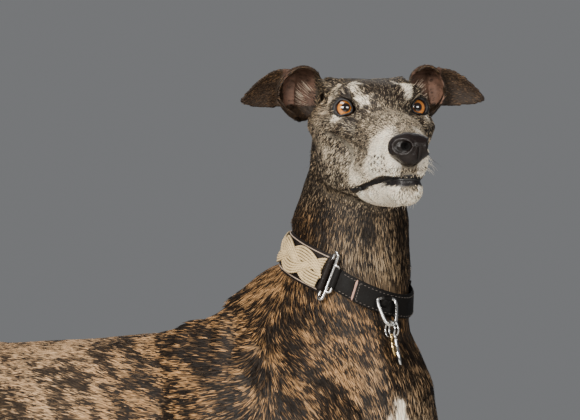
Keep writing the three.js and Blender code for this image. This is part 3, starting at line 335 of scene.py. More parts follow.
at = to_dog(coordinates(body_net))
ends = edge_ends(body_net)
on_toes = smoothstep(62, 40, at[:, 2])
points = eased(coordinates(body_net), ends, rounds=60, strength=1 - 0.93 * on_toes)
print("eased by up to", round(float(np.abs(points - coordinates(body_net)).max()) / MM, 1), "mm")
place(body_net, points)

# %% Thin the nets and sew them under the collar
COLLAR_UP = np.array([math.sin(math.radians(24)), 0.0, math.cos(math.radians(24))])
COLLAR_MID = from_dog([[153, -1, 759]])[0]


def beyond(mesh, away):
    """Cuts the mesh at the collar's plane and drops the side that away points to."""
    net = bmesh.new()
    net.from_mesh(mesh)
    bmesh.ops.bisect_plane(
        net,
        geom=net.verts[:] + net.edges[:] + net.faces[:],
        plane_co=COLLAR_MID,
        plane_no=COLLAR_UP * away,
        clear_outer=True,
    )
    net.to_mesh(mesh)
    net.free()


beyond(head_net, -1)
beyond(body_net, 1)
at = to_head(coordinates(head_net))
face = (at[:, 0] > -30) & (at[:, 2] > -95)
ears = ear_share(at) > 0.2
head_net = thinned(head_net, face | ears, ratio=0.62)
at = to_dog(coordinates(body_net))
body_net = thinned(body_net, at[:, 2] < 70, ratio=0.34)

skin_net = bmesh.new()
skin_net.from_mesh(head_net)
skin_net.from_mesh(body_net)
rims = [edge for edge in skin_net.edges if edge.is_boundary]
bmesh.ops.bridge_loops(skin_net, edges=rims)
bmesh.ops.triangulate(skin_net, faces=[f for f in skin_net.faces if len(f.verts) > 3])
bmesh.ops.recalc_face_normals(skin_net, faces=skin_net.faces)
skin_mesh = bpy.data.meshes.new("Skin")
skin_net.to_mesh(skin_mesh)
print("skin:", len(skin_net.faces), "triangles,", sum(e.is_boundary for e in skin_net.edges), "open edges")
skin_net.free()
skin_mesh.polygons.foreach_set("use_smooth", [True] * len(skin_mesh.polygons))
skin = shown("Skin", skin_mesh)
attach(skin, "root")
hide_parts(*(name for name in nodes if name in set(HEAD_FLESH + BODY_FLESH + LEG_FLESH)))

# %% [markdown]
# ## Form over the bones
#
# A greyhound is lean enough for its muscles to show. The eased skin gets those forms back as low swells
# and hollows along named lines: spine, shoulder blade, ribs, thigh and hock, clefts and knuckles of the
# toes, and on the head the brows, the cheek's edge, the folds behind the eyes and the whiskers' pads.
# Each row gives a width, a height that is negative for a hollow, and a line, all in millimetres.

# %% Swells and hollows
def off_line(at, line):
    """The distance from each point to a line through the named points."""
    best = np.full(len(at), 1e9)
    line = np.asarray(line, float)
    for a, b in zip(line[:-1], line[1:]):
        run = b - a
        t = np.clip((at - a) @ run / (run @ run), 0, 1)
        best = np.minimum(best, np.linalg.norm(at - a - t[:, None] * run, axis=1))
    return best


def relief(at, rows):
    """How far the skin stands out by a table of swells and hollows."""
    return sum(high * np.exp(-((off_line(at, line) / wide) ** 2)) for wide, high, line in rows)


# On both sides alike: the shoulder blade and upper arm, the flank, the thigh, the hock and the breast.
BODY_FORMS = [
    (9, 1.7, [(40, 40, 716), (72, 74, 640), (98, 86, 566)]),
    (10, -1.6, [(60, 62, 690), (84, 84, 610)]),
    (16, -2.2, [(-30, 62, 690), (40, 88, 560), (20, 84, 470)]),
    (17, 2.0, [(66, 88, 560), (24, 88, 470)]),
    (15, -2.6, [(-190, 60, 650), (-215, 66, 560), (-175, 60, 480)]),
    (16, 2.0, [(-390, 60, 690), (-410, 88, 600), (-392, 84, 480)]),
    (8, -2.6, [(-470, 62, 640), (-468, 86, 540), (-440, 82, 440)]),
    (9, -2.0, [(-352, 66, 660), (-356, 84, 560), (-358, 78, 450)]),
    (7, -1.8, [(-486, 74, 380), (-520, 74, 280)]),
    (9, -1.6, [(226, 18, 640), (200, 30, 560)]),
    (10, -1.4, [(190, 22, 800), (214, 16, 700)]),
]
RIBS = [(5.5, 1.0, [(x + 6, 66, 660), (x, 88, 600), (x + 16, 80, 520)]) for x in range(-20, -189, -24)]
SPINE = [(8, 0.5, [(x, -3, 735), (x, 3, 735)]) for x in range(30, -433, -22)]
# Measured from the start of a paw and its middle line.
TOE_FORMS = [(3.2, -3.2, [(30, 0, 44), (56, 0, 36), (78, 0, 18)])]
TOE_FORMS += [(3.0, -2.8, [(28, y, 40), (50, y, 30), (66, y, 14)]) for y in (-14.5, 14.5)]
for y, reach in ((-20, 50), (-7.2, 62), (7.2, 62), (20, 50)):
    TOE_FORMS.append((6.5, 1.2, [(reach - 18, y, 38), (reach, y, 26)]))
PAW_MIDDLE = 71  # from the dog's middle plane
FRONT_PAW, HIND_PAW = 42, -522  # where the paws start
# On both sides of the head: brow, folds behind the eye, cheek, the groove below the eye, the side and
# the ridge of the muzzle, and the corner of the mouth.
FACE_FORMS = [
    (6, 1.3, [(-30, 17, 24), (0, 21, 16), (8, 20, 10)]),
    (1.5, 1.1, [(-40, 45, -4), (-45, 36, 10), (-43, 29, 22)]),
    (1.5, -0.9, [(-37, 44.5, -4), (-41, 36, 10), (-39, 29, 21)]),
    (1.5, 0.9, [(-33, 44, -3), (-37, 36, 11), (-36, 29, 20)]),
    (5, 1.0, [(-20, 41, -20), (14, 30, -26), (40, 25, -30)]),
    (5, -1.4, [(-22, 42, -34), (-18, 36, -58)]),
    (2.2, -0.6, [(10, 36, -11), (-8, 42, -14)]),
    (5, -1.0, [(24, 22, -4), (56, 17, -10)]),
    (3, -0.3, [(40, 0, -8), (108, 0, -20)]),
    (3.5, 0.8, [(30, 25, -66), (14, 28, -70)]),
]
FOREHEAD_GROOVE = [(5, -0.9, [(-40, 2, 30), (0, 1, 14), (26, 0, 2)])]
WHISKER_ROOTS = [
    (62 + 7 * step, -42 - 5.2 * row - 1.5 * (step % 2)) for row in range(3) for step in range(6)
]
WHISKER_PADS = [(1.5, 0.45, [(x, 10, z), (x, 28, z)]) for x, z in WHISKER_ROOTS]


def body_relief(at):
    """How far the skin of trunk and legs stands out, in millimetres."""
    return relief(mirrored(at), BODY_FORMS + RIBS) + relief(at, SPINE)


def toe_relief(at):
    """How far the skin of the paws stands out, in millimetres."""
    out = np.zeros(len(at))
    for start in (FRONT_PAW, HIND_PAW):
        paw = mirrored(at) - [start, PAW_MIDDLE, 0]
        out += relief(paw, TOE_FORMS)
    return out * smoothstep(6, 14, at[:, 2])


def face_relief(at):
    """How far the skin of the head stands out, in millimetres."""
    both = mirrored(at)
    pads = relief(both, WHISKER_PADS) * (both[:, 1] > 12)
    return relief(both, FACE_FORMS) + relief(at, FOREHEAD_GROOVE) + pads


# %% [markdown]
# The skin lies inside the solids by the depth of the coat: about a millimetre on the body, less on the
# face, and nothing on the lids, lips and soles, where there is no fur. The mouth's line is pressed in.

# %% Lay the skin under the coat
points = coordinates(skin_mesh)
outward = normals(skin_mesh)
at = to_head(points)
body_at = to_dog(points)
on_head = smoothstep(-118, -92, at[:, 2]) * smoothstep(-125, -95, at[:, 0])
lid_share = smoothstep(19, 15, near_eyes(at))
lip_share = smoothstep(4, 1.5, np.abs(at[:, 2] - mouth_height(at[:, 0]))) * smoothstep(8, 20, at[:, 0])
ear_here = ear_share(at)
BODY_DEPTH, FACE_DEPTH = 1.3, 0.7
MOUTH_DEEP, MOUTH_WIDE = 2.1, 1.3
depth = BODY_DEPTH - (BODY_DEPTH - FACE_DEPTH) * on_head
depth = depth * (1 - lid_share) * (1 - 0.7 * ear_here) * (1 - lip_share)
depth = depth * smoothstep(1, 9, body_at[:, 2])
rise = body_relief(body_at) * (1 - on_head) + face_relief(at) * on_head * (1 - ear_here)
rise = rise * (1 - lid_share) * smoothstep(30, 70, body_at[:, 2]) + toe_relief(body_at)
rise -= MOUTH_DEEP * lip_share * np.exp(-((at[:, 2] - mouth_height(at[:, 0])) / MOUTH_WIDE) ** 2)
points = points + outward * ((rise - depth) * MM)[:, None]
points[:, 2] = np.maximum(points[:, 2], 0)
place(skin_mesh, points)
print("skin laid in, deepest", round(float((depth - rise).max()), 2), "mm")

# %% [markdown]
# ## Markings
#
# Each spot of the coat is a mixture of pale and dark hairs. A brindle coat has tan hairs in ragged
# stripes on near-black; the muzzle, brows and chin of this older dog are white, and its face is
# grizzled. One function gives, for any place on the dog, the share of pale hairs and the two colours.
# Skin and fur both ask it, so that they always agree.

# %% Colours and noise
def linear(red, green, blue):
    """A screen colour as the linear light that Blender works in."""
    screen = np.array([red, green, blue]) / 255
    return np.where(screen <= 0.04045, screen / 12.92, ((screen + 0.055) / 1.055) ** 2.4)


WHITE_HAIR = linear(250, 240, 222)
GREY_HAIR = linear(188, 172, 146)
TAN_HAIR = linear(164, 128, 88)
DARK_HAIR = linear(24, 18, 13)
BROWN_HAIR = linear(38, 28, 20)
EAR_SKIN = linear(124, 92, 76)
LIP_SKIN = linear(24, 20, 20)


def grain(at, size, seed):
    """Smooth noise from 0 to 1 with blobs of that size along each axis."""
    scaled = at / np.asarray(size, float) + seed * 7.31
    cell = np.floor(scaled).astype(np.int64)
    soft = scaled - cell
    soft = soft * soft * (3 - 2 * soft)
    total = np.zeros(len(at))
    for corner in range(8):
        step = np.array([corner & 1, (corner >> 1) & 1, corner >> 2])
        key = cell + step
        code = key[:, 0] * 73856093 ^ key[:, 1] * 19349663 ^ key[:, 2] * 83492791 ^ seed * 2654435
        code = (code ^ (code >> 13)) * 1274126177 & 0x7FFFFFFF
        value = ((code ^ (code >> 16)) & 0xFFFF) / 65535
        total += value * np.prod(np.where(step == 1, soft, 1 - soft), axis=1)
    return total


def ripple(at, size, seed):
    """The same noise from -0.5 to 0.5."""
    return grain(at, size, seed) - 0.5


def spot(at, middle, radii):
    """1 in the middle of a soft egg, 0 outside it."""
    return np.exp(-np.sum(((at - np.array(middle)) / np.array(radii)) ** 2, axis=1))


# %% Brindle on the body
BARS = [
    (0.02, 9, [(100, 700), (125, 683), (141, 670), (164, 655), (189, 640), (207, 628), (220, 600)]),
    (0.05, 7, [(171, 723), (189, 712), (205, 697), (219, 674), (225, 643)]),
    (0.05, 8, [(51, 734), (96, 720), (130, 712), (153, 702)]),
    (0.03, 8, [(-3, 702), (33, 685), (56, 659), (73, 631), (86, 590), (92, 540)]),
    (0.12, 6, [(-36, 689), (-14, 673), (5, 656), (16, 630)]),
    (0.03, 13, [(-59, 664), (-41, 643), (-32, 624), (-22, 570)]),
    (0.08, 9, [(-182, 685), (-155, 672), (-129, 654), (-113, 628), (-104, 580)]),
    (0.14, 14, [(-132, 682), (-101, 669), (-74, 653)]),
    (0.06, 5, [(74, 684), (103, 660), (122, 631), (132, 590)]),
    (0.05, 6, [(22, 707), (62, 692), (90, 677)]),
    (0.85, 5, [(-175, 698), (-136, 685)]),
    (0.92, 5, [(-119, 686), (-89, 671), (-66, 657)]),
    (0.9, 7, [(-77, 647), (-58, 628), (-48, 600)]),
    (0.85, 8, [(-108, 646), (-86, 628), (-76, 590)]),
    (0.85, 6, [(-71, 682), (-45, 668)]),
    (0.8, 7, [(4, 673), (35, 659)]),
    (0.8, 7, [(-35, 645), (-12, 629), (0, 590)]),
    (0.9, 9, [(-258, 699), (-186, 691), (-157, 682)]),
    (0.8, 12, [(-201, 671), (-171, 658), (-150, 641)]),
    (0.85, 6, [(72, 737), (97, 741), (113, 750)]),
    (0.6, 7, [(141, 703), (170, 689), (193, 670), (212, 643)]),
    (0.75, 7, [(107, 684), (132, 658), (153, 631), (166, 600)]),
    (0.6, 5, [(31, 714), (67, 700), (98, 690)]),
    (0.65, 5, [(79, 666), (95, 647), (107, 626)]),
]


def brindle(at):
    """The share of tan hairs in the striped coat, in the dog's frame.

    The stripes lean with the height on the trunk and run across the legs. Noise as broad as a stripe
    gives the pattern, the bars draw it towards the near side's main bars, and short streaks fray it.
    """
    side = np.where(at[:, 1] > 0, 37.0, 0.0)
    warp = 30 * ripple(at, 60, 3) + 12 * ripple(at, 15, 4)
    leg = smoothstep(500, 400, at[:, 2])
    sweep = at[:, 0] + 0.15 * at[:, 2] + 121 * np.exp((at[:, 2] - 690) / 70)
    across = towards(sweep, 0.2 * at[:, 0] + 0.98 * at[:, 2], leg) + warp + side
    along = towards(at[:, 2], at[:, 0], leg)
    frame_at = np.stack([across, along, at[:, 1]], axis=1)
    broad = grain(frame_at, (16, 60, 60), 11)
    narrow = grain(frame_at, (6.5, 24, 30), 12)
    patch = grain(at, 70, 13)
    streak = grain(at, (12, 8, 3.2), 15)
    mixed = 0.4 * broad + 0.42 * narrow + 0.18 * patch
    share = 0.05 + 0.8 * smoothstep(0.38, 0.7, mixed)
    flat = np.stack([at[:, 0], np.zeros(len(at)), at[:, 2]], axis=1)
    ragged = 8 * ripple(at, 7, 14) + 9 * ripple(at, (11, 8, 3), 16)
    near_side = smoothstep(10, -10, at[:, 1])
    for goal, half, bar in BARS:
        gone = off_line(flat, [(x, 0, z) for x, z in bar]) + ragged
        share = towards(share, goal, 0.75 * near_side * smoothstep(half + 3, half - 3, gone))
    loin = smoothstep(-190, -260, at[:, 0]) * smoothstep(600, 700, at[:, 2])
    share = towards(share, 0.75, 0.5 * loin)
    fine = grain(at, (6, 4, 1.8), 17)
    front = smoothstep(-60, 60, at[:, 0])
    share = (0.78 - 0.2 * front) * share + 0.6 * (streak - 0.5) + 0.5 * (fine - 0.5)
    return np.clip(share + 0.03, 0, 1)


# %% Lines that the markings follow
FOLD_LINES = [
    [(-40, 45, -4), (-44, 40.5, 3), (-45, 36, 10), (-44, 32, 17), (-43, 29, 22)],
    [(-33, 44, -3), (-36, 40, 4), (-37, 36, 11), (-37, 32, 17), (-36, 29, 20)],
]
THROAT_CREASES = [[(-28, 2, -92), (-40, 4, -116)], [(-26, 20, -92), (-38, 20, -116)]]
NEAR_BROW = [(-30, -19, 22), (2, -22.5, 15), (13, -17.5, 5)]
FAR_BROW = [(-26, 18, 23), (5, 20.5, 17), (10, 21.5, 10)]


# %% A coat that is marked step by step
class Coat:
    """The share of pale hairs and the pale and dark colours at some places, marked step by step."""

    def __init__(self, share):
        self.share = share
        self.pale = np.tile(TAN_HAIR, (len(share), 1))
        self.dark = np.tile(DARK_HAIR, (len(share), 1))

    def mark(self, where, share=None, pale=None, dark=None):
        """Draws the share and the colours towards new ones, by as much as where says."""
        if share is not None:
            self.share = towards(self.share, share, where)
        if pale is not None:
            self.pale = towards(self.pale, pale, where[:, None])
        if dark is not None:
            self.dark = towards(self.dark, dark, where[:, None])


# %% Markings of trunk and toes
def mark_trunk(coat, at, head):
    """A rear greyed partly by dust and partly by painted sheen, a grizzled neck and breast, and a white
    blaze down the chest.
    """
    # Painted sheen with dust: the rear's dark hairs are greyed and its pale hairs whitened, partly real dust
    # and partly light glancing off the coat from above.
    dust_and_sheen = smoothstep(10, -150, at[:, 0])
    coat.mark(dust_and_sheen, dark=linear(50, 42, 35))
    coat.mark(0.8 * dust_and_sheen, pale=linear(190, 160, 126))
    neck = smoothstep(735, 775, at[:, 2] + 0.35 * at[:, 0] - 60) * smoothstep(20, 70, at[:, 0])
    throat = neck * smoothstep(-30, 25, head[:, 0] + 60)
    coat.mark(neck, 0.1 + 0.4 * ripple(at, (9, 9, 40), 21))
    coat.mark(throat, 0.16 + 0.6 * ripple(at, (8, 8, 46), 22))
    coat.mark(0.8 * spot(head, (-40, 2, -138), (22, 22, 20)), 0.62)
    # Painted shade: the neck's fur is darkened along the throat's creases.
    for crease in THROAT_CREASES:
        coat.mark(0.8 * neck * smoothstep(7, 2, off_line(head, crease)), 0.05)
    coat.mark(0.85 * throat, pale=linear(146, 132, 110))
    breast = spot(at, (232, 0, 600), (60, 45, 75))
    coat.mark(0.6 * breast, 0.3)
    coat.mark(0.7 * breast, pale=GREY_HAIR)
    # Painted shadow in the hollow above the breast, at the top of the white blaze.
    coat.mark(0.7 * spot(at, (228, -16, 660), (16, 10, 26)), 0.1)
    blaze_half = 2 + 17 * smoothstep(650, 585, at[:, 2])
    blaze_mid = -27 + 14 * smoothstep(620, 560, at[:, 2])
    blaze = smoothstep(3, -3, np.abs(at[:, 1] - blaze_mid) - blaze_half + 9 * ripple(at, 6, 23))
    blaze = blaze * smoothstep(654, 640, at[:, 2]) * smoothstep(500, 530, at[:, 2]) * (at[:, 0] > 150)
    coat.mark(blaze, 0.98)
    belly = smoothstep(-0.2, 0.5, (500 - at[:, 2]) / 60) * smoothstep(70, 30, np.abs(at[:, 1]))
    belly = belly * (at[:, 0] < 60) * (at[:, 0] > -330) * (at[:, 2] > 430)
    coat.mark(0.5 * belly, 0.6)
    coat.mark(blaze, pale=WHITE_HAIR)


def mark_toes(coat, at):
    """White toes, with painted shade in the clefts between them."""
    foremost = np.where(at[:, 0] > -200, at[:, 0] > 66, at[:, 0] > -494)
    toes = smoothstep(40, 24, at[:, 2] + 9 * ripple(at, 6, 23)) * foremost
    coat.mark(0.9 * toes, 0.95)
    across = np.abs(at[:, 1]) - PAW_MIDDLE
    cleft = np.min([np.abs(across - y) for y in (-14.5, 0, 14.5)], axis=0)
    # Painted shade in the clefts between the toes.
    coat.mark(0.85 * toes * smoothstep(2.4, 1.0, cleft) * smoothstep(7, 12, at[:, 2]), 0.15)
    coat.mark(toes, pale=WHITE_HAIR)


# %% Markings of the head
def mark_head(coat, head):
    """A grizzled face with white muzzle, chin and brows, a dark crown and stripe, and dark ears."""
    both = mirrored(head)
    ahead, aside, up = both.T
    face = smoothstep(-70, -28, ahead) * smoothstep(-98, -80, up)
    skull = smoothstep(-125, -95, ahead) * smoothstep(-100, -70, up)
    pepper = 0.32 * ripple(head, (7, 3.4, 3.4), 32) + 0.3 * ripple(head, (4, 1.6, 1.6), 38)
    coat.mark(skull, 0.13 + 0.2 * ripple(head, 7, 31), towards(TAN_HAIR, GREY_HAIR, 0.8))
    coat.mark(face, 0.09 + 0.23 * smoothstep(-5, 80, ahead) + pepper, linear(204, 191, 168))
    coat.mark(0.35 * face, dark=BROWN_HAIR)
    coat.mark(smoothstep(-8, -18, ahead) * smoothstep(-12, -26, up) * face, 0.2 + 1.2 * pepper)
    temple = spot(both, (-38, 44, -8), (22, 14, 16))
    coat.mark(temple, 0.42)
    coat.mark(0.15 * temple, pale=TAN_HAIR)
    strip = spot(both, (2, 31, -50), (13, 16, 20))
    coat.mark(np.minimum(1.15 * strip, 1), 0.74)
    corner = spot(both, (22, 27, -60), (26, 14, 9))
    coat.mark(corner, 0.8)
    low = up - (-46 + 0.6 * (ahead - 45)) + 7 * ripple(head, 5, 34)
    muzzle = smoothstep(9, -6, low + 8 * pepper) * smoothstep(34, 58, ahead) * (aside > 7)
    coat.mark(0.95 * muzzle, 0.9)
    bridge = smoothstep(17, 8, aside) * smoothstep(20, 40, ahead) * smoothstep(-34, -24, up)
    coat.mark(0.8 * bridge, 0.34 + pepper)
    coat.mark(0.85 * spot(both, (109, 3, -54), (10, 14, 5)), 0.22)
    chin = smoothstep(-69, -72.5, up) * smoothstep(-93, -86, up) * smoothstep(8, 22, ahead)
    coat.mark(chin, 0.84 + 0.5 * ripple(head, 6, 35))
    coat.mark(0.7 * spot(head, (104, 0, -73), (12, 9, 4)), 0.55)
    near_brow = smoothstep(7.5, 1.5, off_line(head, NEAR_BROW) + 9 * ripple(head, 4, 37))
    brows = np.maximum(near_brow, smoothstep(6.5, 2, off_line(head, FAR_BROW)))
    coat.mark(brows, 0.93 - 0.2 * smoothstep(-6, 10, ahead))
    coat.mark(0.8 * smoothstep(-22, -40, ahead) * smoothstep(14, 22, up), 0.1)
    stripe = smoothstep(17, 8, np.abs(head[:, 1] - 3)) * smoothstep(30, 12, ahead)
    coat.mark(0.95 * stripe * smoothstep(-2, 6, up) * smoothstep(-60, -30, ahead), 0.04)
    below_eye = spot(both, (0, 41, -9), (8, 7, 4.5))
    coat.mark(below_eye, 0.75)
    coat.mark(spot(both, (-26, 45, -37), (5, 8, 8)), 0.6)
    # Painted highlight: pale hair along the ridges of the folds behind the eyes.
    folds = np.minimum.reduce([off_line(both, line) for line in FOLD_LINES])
    coat.mark(smoothstep(2.0, 1.0, folds), 0.95)
    white = np.maximum.reduce([muzzle, corner, chin, brows, below_eye, 0.8 * strip])
    coat.mark(face * white, pale=WHITE_HAIR)
    dots = np.min([np.hypot(ahead - x, up - z) for x, z in WHISKER_ROOTS], axis=0)
    coat.mark(smoothstep(2.0, 1.2, dots) * (aside > 12), 0.05)
    ears = ear_share(head)
    coat.mark(ears, 0.12 + 0.2 * ripple(head, 6, 36), linear(100, 79, 58), BROWN_HAIR)
    # The ears' tops are lighter, partly paler fur and partly painted light from above.
    coat.mark(0.6 * ears * smoothstep(22, 30, up), 0.35)


# %% The whole coat
def markings(points):
    """The share of pale hairs, and the pale and dark colours, at places in model metres."""
    at = to_dog(points)
    head = to_head(points)
    coat = Coat(brindle(at))
    mark_trunk(coat, at, head)
    mark_toes(coat, at)
    mark_head(coat, head)
    return np.clip(coat.share, 0, 1), coat.pale, coat.dark


probe = markings(from_dog([[-40, -90, 700], [230, -10, 560]]))
print("share of pale hairs on rib and chest:", probe[0].round(2))

# %% [markdown]
# ## Where the eyes open
#
# The lids were modelled as thin shells over round eyes. Rays from the middle of each eye find where the
# lids leave off, and that ring places the black rims of the lids and keeps the fur out of the eyes.

# %% Find the lids' edges
EYE_BALL = 10.8
LID_REACH = 0.017  # metres from the eye's middle within which a ray can meet a lid
LID_TURNS = np.radians(np.arange(0, 360, 7.5))


def tree_of(mesh):
    """A search tree over a mesh's faces."""
    faces = [tuple(face.vertices) for face in mesh.polygons]
    return BVHTree.FromPolygons([v.co for v in mesh.vertices], faces)


skin_tree = tree_of(skin_mesh)


def lid_edge(side):
    """The middle of one eye and the ways from it to the lids' edge, in the head's frame."""
    axis = unit(np.array([0.95, 0.24 * side, 0.08]))
    across = unit(np.cross([0, 0, 1], axis))
    sideways = np.cos(LID_TURNS)[:, None] * across + np.sin(LID_TURNS)[:, None] * np.cross(axis, across)
    start = Vector(from_head([eye_at(side)])[0])
    angles = []
    for way in sideways:
        for degrees in range(12, 88):
            ray = math.cos(math.radians(degrees)) * axis + math.sin(math.radians(degrees)) * way
            if skin_tree.ray_cast(start, Vector(HEAD_TURN @ ray), LID_REACH)[0] is not None:
                break
        angles.append(degrees)
    angles = np.array(angles, float)
    for _ in range(3):
        angles = 0.5 * angles + 0.25 * np.roll(angles, 1) + 0.25 * np.roll(angles, -1)
    wide = np.radians(angles - 1.5)[:, None]
    return eye_at(side), np.cos(wide) * axis + np.sin(wide) * sideways


LID_EDGES = {side: lid_edge(side) for side in (1, -1)}
print("ways from an eye to its lids:", len(LID_EDGES[1][1]))


def off_lids(at):
    """The distance to the nearer lid's edge, in the head's millimetres."""
    best = np.full(len(at), 1e9)
    close = np.nonzero(near_eyes(at) < 26)[0]
    for middle, rays in LID_EDGES.values():
        edge = middle + rays * (EYE_BALL + 1.2)
        gaps = np.linalg.norm(at[close][:, None, :] - edge[None, :, :], axis=2)
        best[close] = np.minimum(best[close], gaps.min(axis=1))
    return best


# %% [markdown]
# ## Which way the fur lies
#
# Fur starts at the nose and runs back over the head, down the neck, back along the trunk and down the
# legs. A few named places each give their direction. Every point of the skin takes a mixture of the
# nearest ones, laid flat on the surface.

# %% The lie of the coat
# Each row gives a place and the way its fur points.
HEAD_LIE = [
    (108, 0, -52, -0.6, 0, -0.8), (104, 14, -44, -0.9, 0.3, -0.35), (70, 0, -12, -1, 0, 0.1),
    (76, 20, -40, -0.95, 0.1, -0.3), (50, 25, -50, -0.9, 0, -0.45), (24, 24, -34, -0.9, 0.1, -0.4),
    (28, 0, 0, -0.9, 0.0, 0.45), (6, 8, 14, -0.75, 0.35, 0.55), (4, 22, 14, -0.7, 0.6, 0.4),
    (14, 24, -4, -0.5, 0.7, 0.5), (-2, 42, -12, -0.85, 0.3, -0.4), (-30, 30, 24, -0.85, 0.35, 0.1),
    (-30, 0, 30, -1, 0, 0.1), (-80, 0, 34, -1, 0, -0.2), (-20, 48, -24, -0.75, 0.1, -0.65),
    (-45, 48, -45, -0.6, 0, -0.8), (-50, 42, 0, -0.8, 0.4, -0.3), (10, 28, -60, -0.95, 0, -0.3),
    (30, 18, -82, -0.9, 0, -0.4), (100, 0, -80, -0.7, 0, -0.7), (60, 12, -86, -0.95, 0, -0.3),
    (-10, 0, -92, -0.7, 0, -0.7), (-40, 30, -75, -0.5, 0, -0.85), (-90, 50, -10, -0.2, 0.6, 0.7),
    (-92, 54, 30, 0, 0.9, 0.4), (-88, 78, 20, 0, 1, -0.1), (-82, 105, 11, 0.05, 0.9, -0.4),
]
BODY_LIE = [
    (205, 0, 800, 0.0, 0, -1), (168, 48, 810, -0.15, 0, -1), (110, 0, 820, -0.3, 0, -1),
    (210, 10, 740, 0.2, 0, -1), (160, 52, 742, 0.2, 0, -1), (85, 20, 765, -0.7, 0, -0.7),
    (178, 52, 700, 0.55, 0.1, -0.8), (130, 62, 690, 0.8, 0, -0.55), (190, 56, 650, 0.6, 0, -0.8),
    (150, 70, 640, 0.7, 0, -0.65), (240, 0, 620, 0, 0, -1), (225, 40, 590, 0, 0.2, -1),
    (230, 0, 540, -0.5, 0, -0.85), (130, 84, 580, 0.2, 0, -1), (70, 60, 700, -0.85, 0, 0.1),
    (70, 80, 640, -0.7, 0, -0.2), (50, 86, 560, -0.5, 0, -0.8), (0, 40, 715, -1, 0, 0.12),
    (0, 84, 620, -0.95, 0, 0.15), (-20, 86, 520, -0.9, 0, -0.3), (-100, 60, 690, -1, 0, 0.3),
    (-100, 90, 610, -0.95, 0, 0.2), (-110, 60, 480, -0.95, 0, -0.3), (0, 0, 430, -1, 0, 0),
    (-220, 50, 690, -1, 0, 0.15), (-230, 70, 590, -0.95, 0, 0), (-250, 30, 520, -1, 0, 0.1),
    (-340, 60, 690, -1, 0, -0.1), (-360, 84, 580, -0.7, 0, -0.7), (-430, 60, 660, -0.9, 0, -0.4),
    (-440, 90, 540, -0.5, 0, -0.85), (-400, 90, 440, -0.5, 0, -0.85), (-520, 40, 600, -0.3, 0, -0.95),
    (-480, 80, 420, -0.1, 0, -1), (-420, 71, 350, -0.6, 0, -0.8), (-490, 71, 260, -0.6, 0, -0.8),
    (-540, 71, 180, 0, 0, -1), (-535, 71, 110, 0.1, 0, -1), (-500, 71, 50, 0.6, 0, -0.8),
    (-460, 71, 25, 0.9, 0, -0.4), (20, 71, 420, 0, 0, -1), (23, 71, 300, 0, 0, -1),
    (30, 71, 160, 0.05, 0, -1), (40, 71, 90, 0.2, 0, -1), (70, 71, 50, 0.7, 0, -0.7),
    (110, 71, 25, 0.9, 0, -0.4), (-545, 0, 610, -0.6, 0, -0.8), (-575, 0, 540, -0.2, 0, -1),
    (-586, 0, 430, 0, 0, -1), (-601, 0, 320, -0.4, 0, -0.9), (-640, 0, 268, -0.9, 0, -0.3),
]


def both_sides(guides, frame_of, turn):
    """The guides and their mirror images, as model places and directions."""
    places = []
    ways = []
    for x, y, z, a, b, c in guides:
        for side in ((1, -1) if y or b else (1,)):
            places.append(frame_of([[x, y * side, z]])[0])
            ways.append(turn @ np.array([a, b * side, c]))
    return places, ways


def laid_flat(rows):
    """The rows as directions along the skin."""
    return unit(rows - np.sum(rows * outward, axis=1)[:, None] * outward)


head_places, head_ways = both_sides(HEAD_LIE, from_head, HEAD_TURN)
body_places, body_ways = both_sides(BODY_LIE, from_dog, np.eye(3))
points = coordinates(skin_mesh)
outward = normals(skin_mesh)
ends = edge_ends(skin_mesh)
lie = np.zeros_like(points)
for guide_at, way in zip(head_places + body_places, unit(np.array(head_ways + body_ways))):
    gap = np.sum((points - guide_at) ** 2, axis=1) + 0.008 ** 2
    lie += way / gap[:, None] ** 2.2
for _ in range(4):
    lie = eased(laid_flat(lie), ends, 3, np.ones(len(lie)), keep_size=False)
lie = laid_flat(lie)
print("lie set from", len(head_places + body_places), "guides")

# %% [markdown]
# ## How long and how close the fur is
#
# The hairs are a few millimetres long on face, ears and feet, and about a centimetre on neck and trunk.
# The tufts are thinner and closer where they are short. Lips, lid rims, soles, claws and the hollow of
# the ears stay bare or nearly so.

# %% Length, width and density of the tufts
CLAW_SLOPE = 0.48  # radians down from level
HALF_CLAW = 10.5


def claw_axes():
    """The root and tip of each claw, in the dog's millimetres."""
    run = np.array([math.cos(CLAW_SLOPE), 0, -math.sin(CLAW_SLOPE)]) * HALF_CLAW
    axes = []
    for start, long in ((FRONT_PAW, 1.0), (HIND_PAW, 0.97)):
        for side in (1, -1):
            for y, reach in ((-19, 74), (-6.8, 90), (6.8, 90), (19, 74)):
                middle = np.array([start + (reach - 11) * long, side * PAW_MIDDLE + y * 1.07, 9.2])
                axes.append((middle - run, middle + run))
    return axes


CLAWS = claw_axes()


def put(mesh, name, kind, values):
    """Stores values on a mesh's points under a name."""
    layer = mesh.attributes.get(name) or mesh.attributes.new(name, kind, "POINT")
    key = {"FLOAT": "value", "FLOAT_VECTOR": "vector", "FLOAT_COLOR": "color"}[kind]
    layer.data.foreach_set(key, np.ascontiguousarray(values, np.float32).ravel())


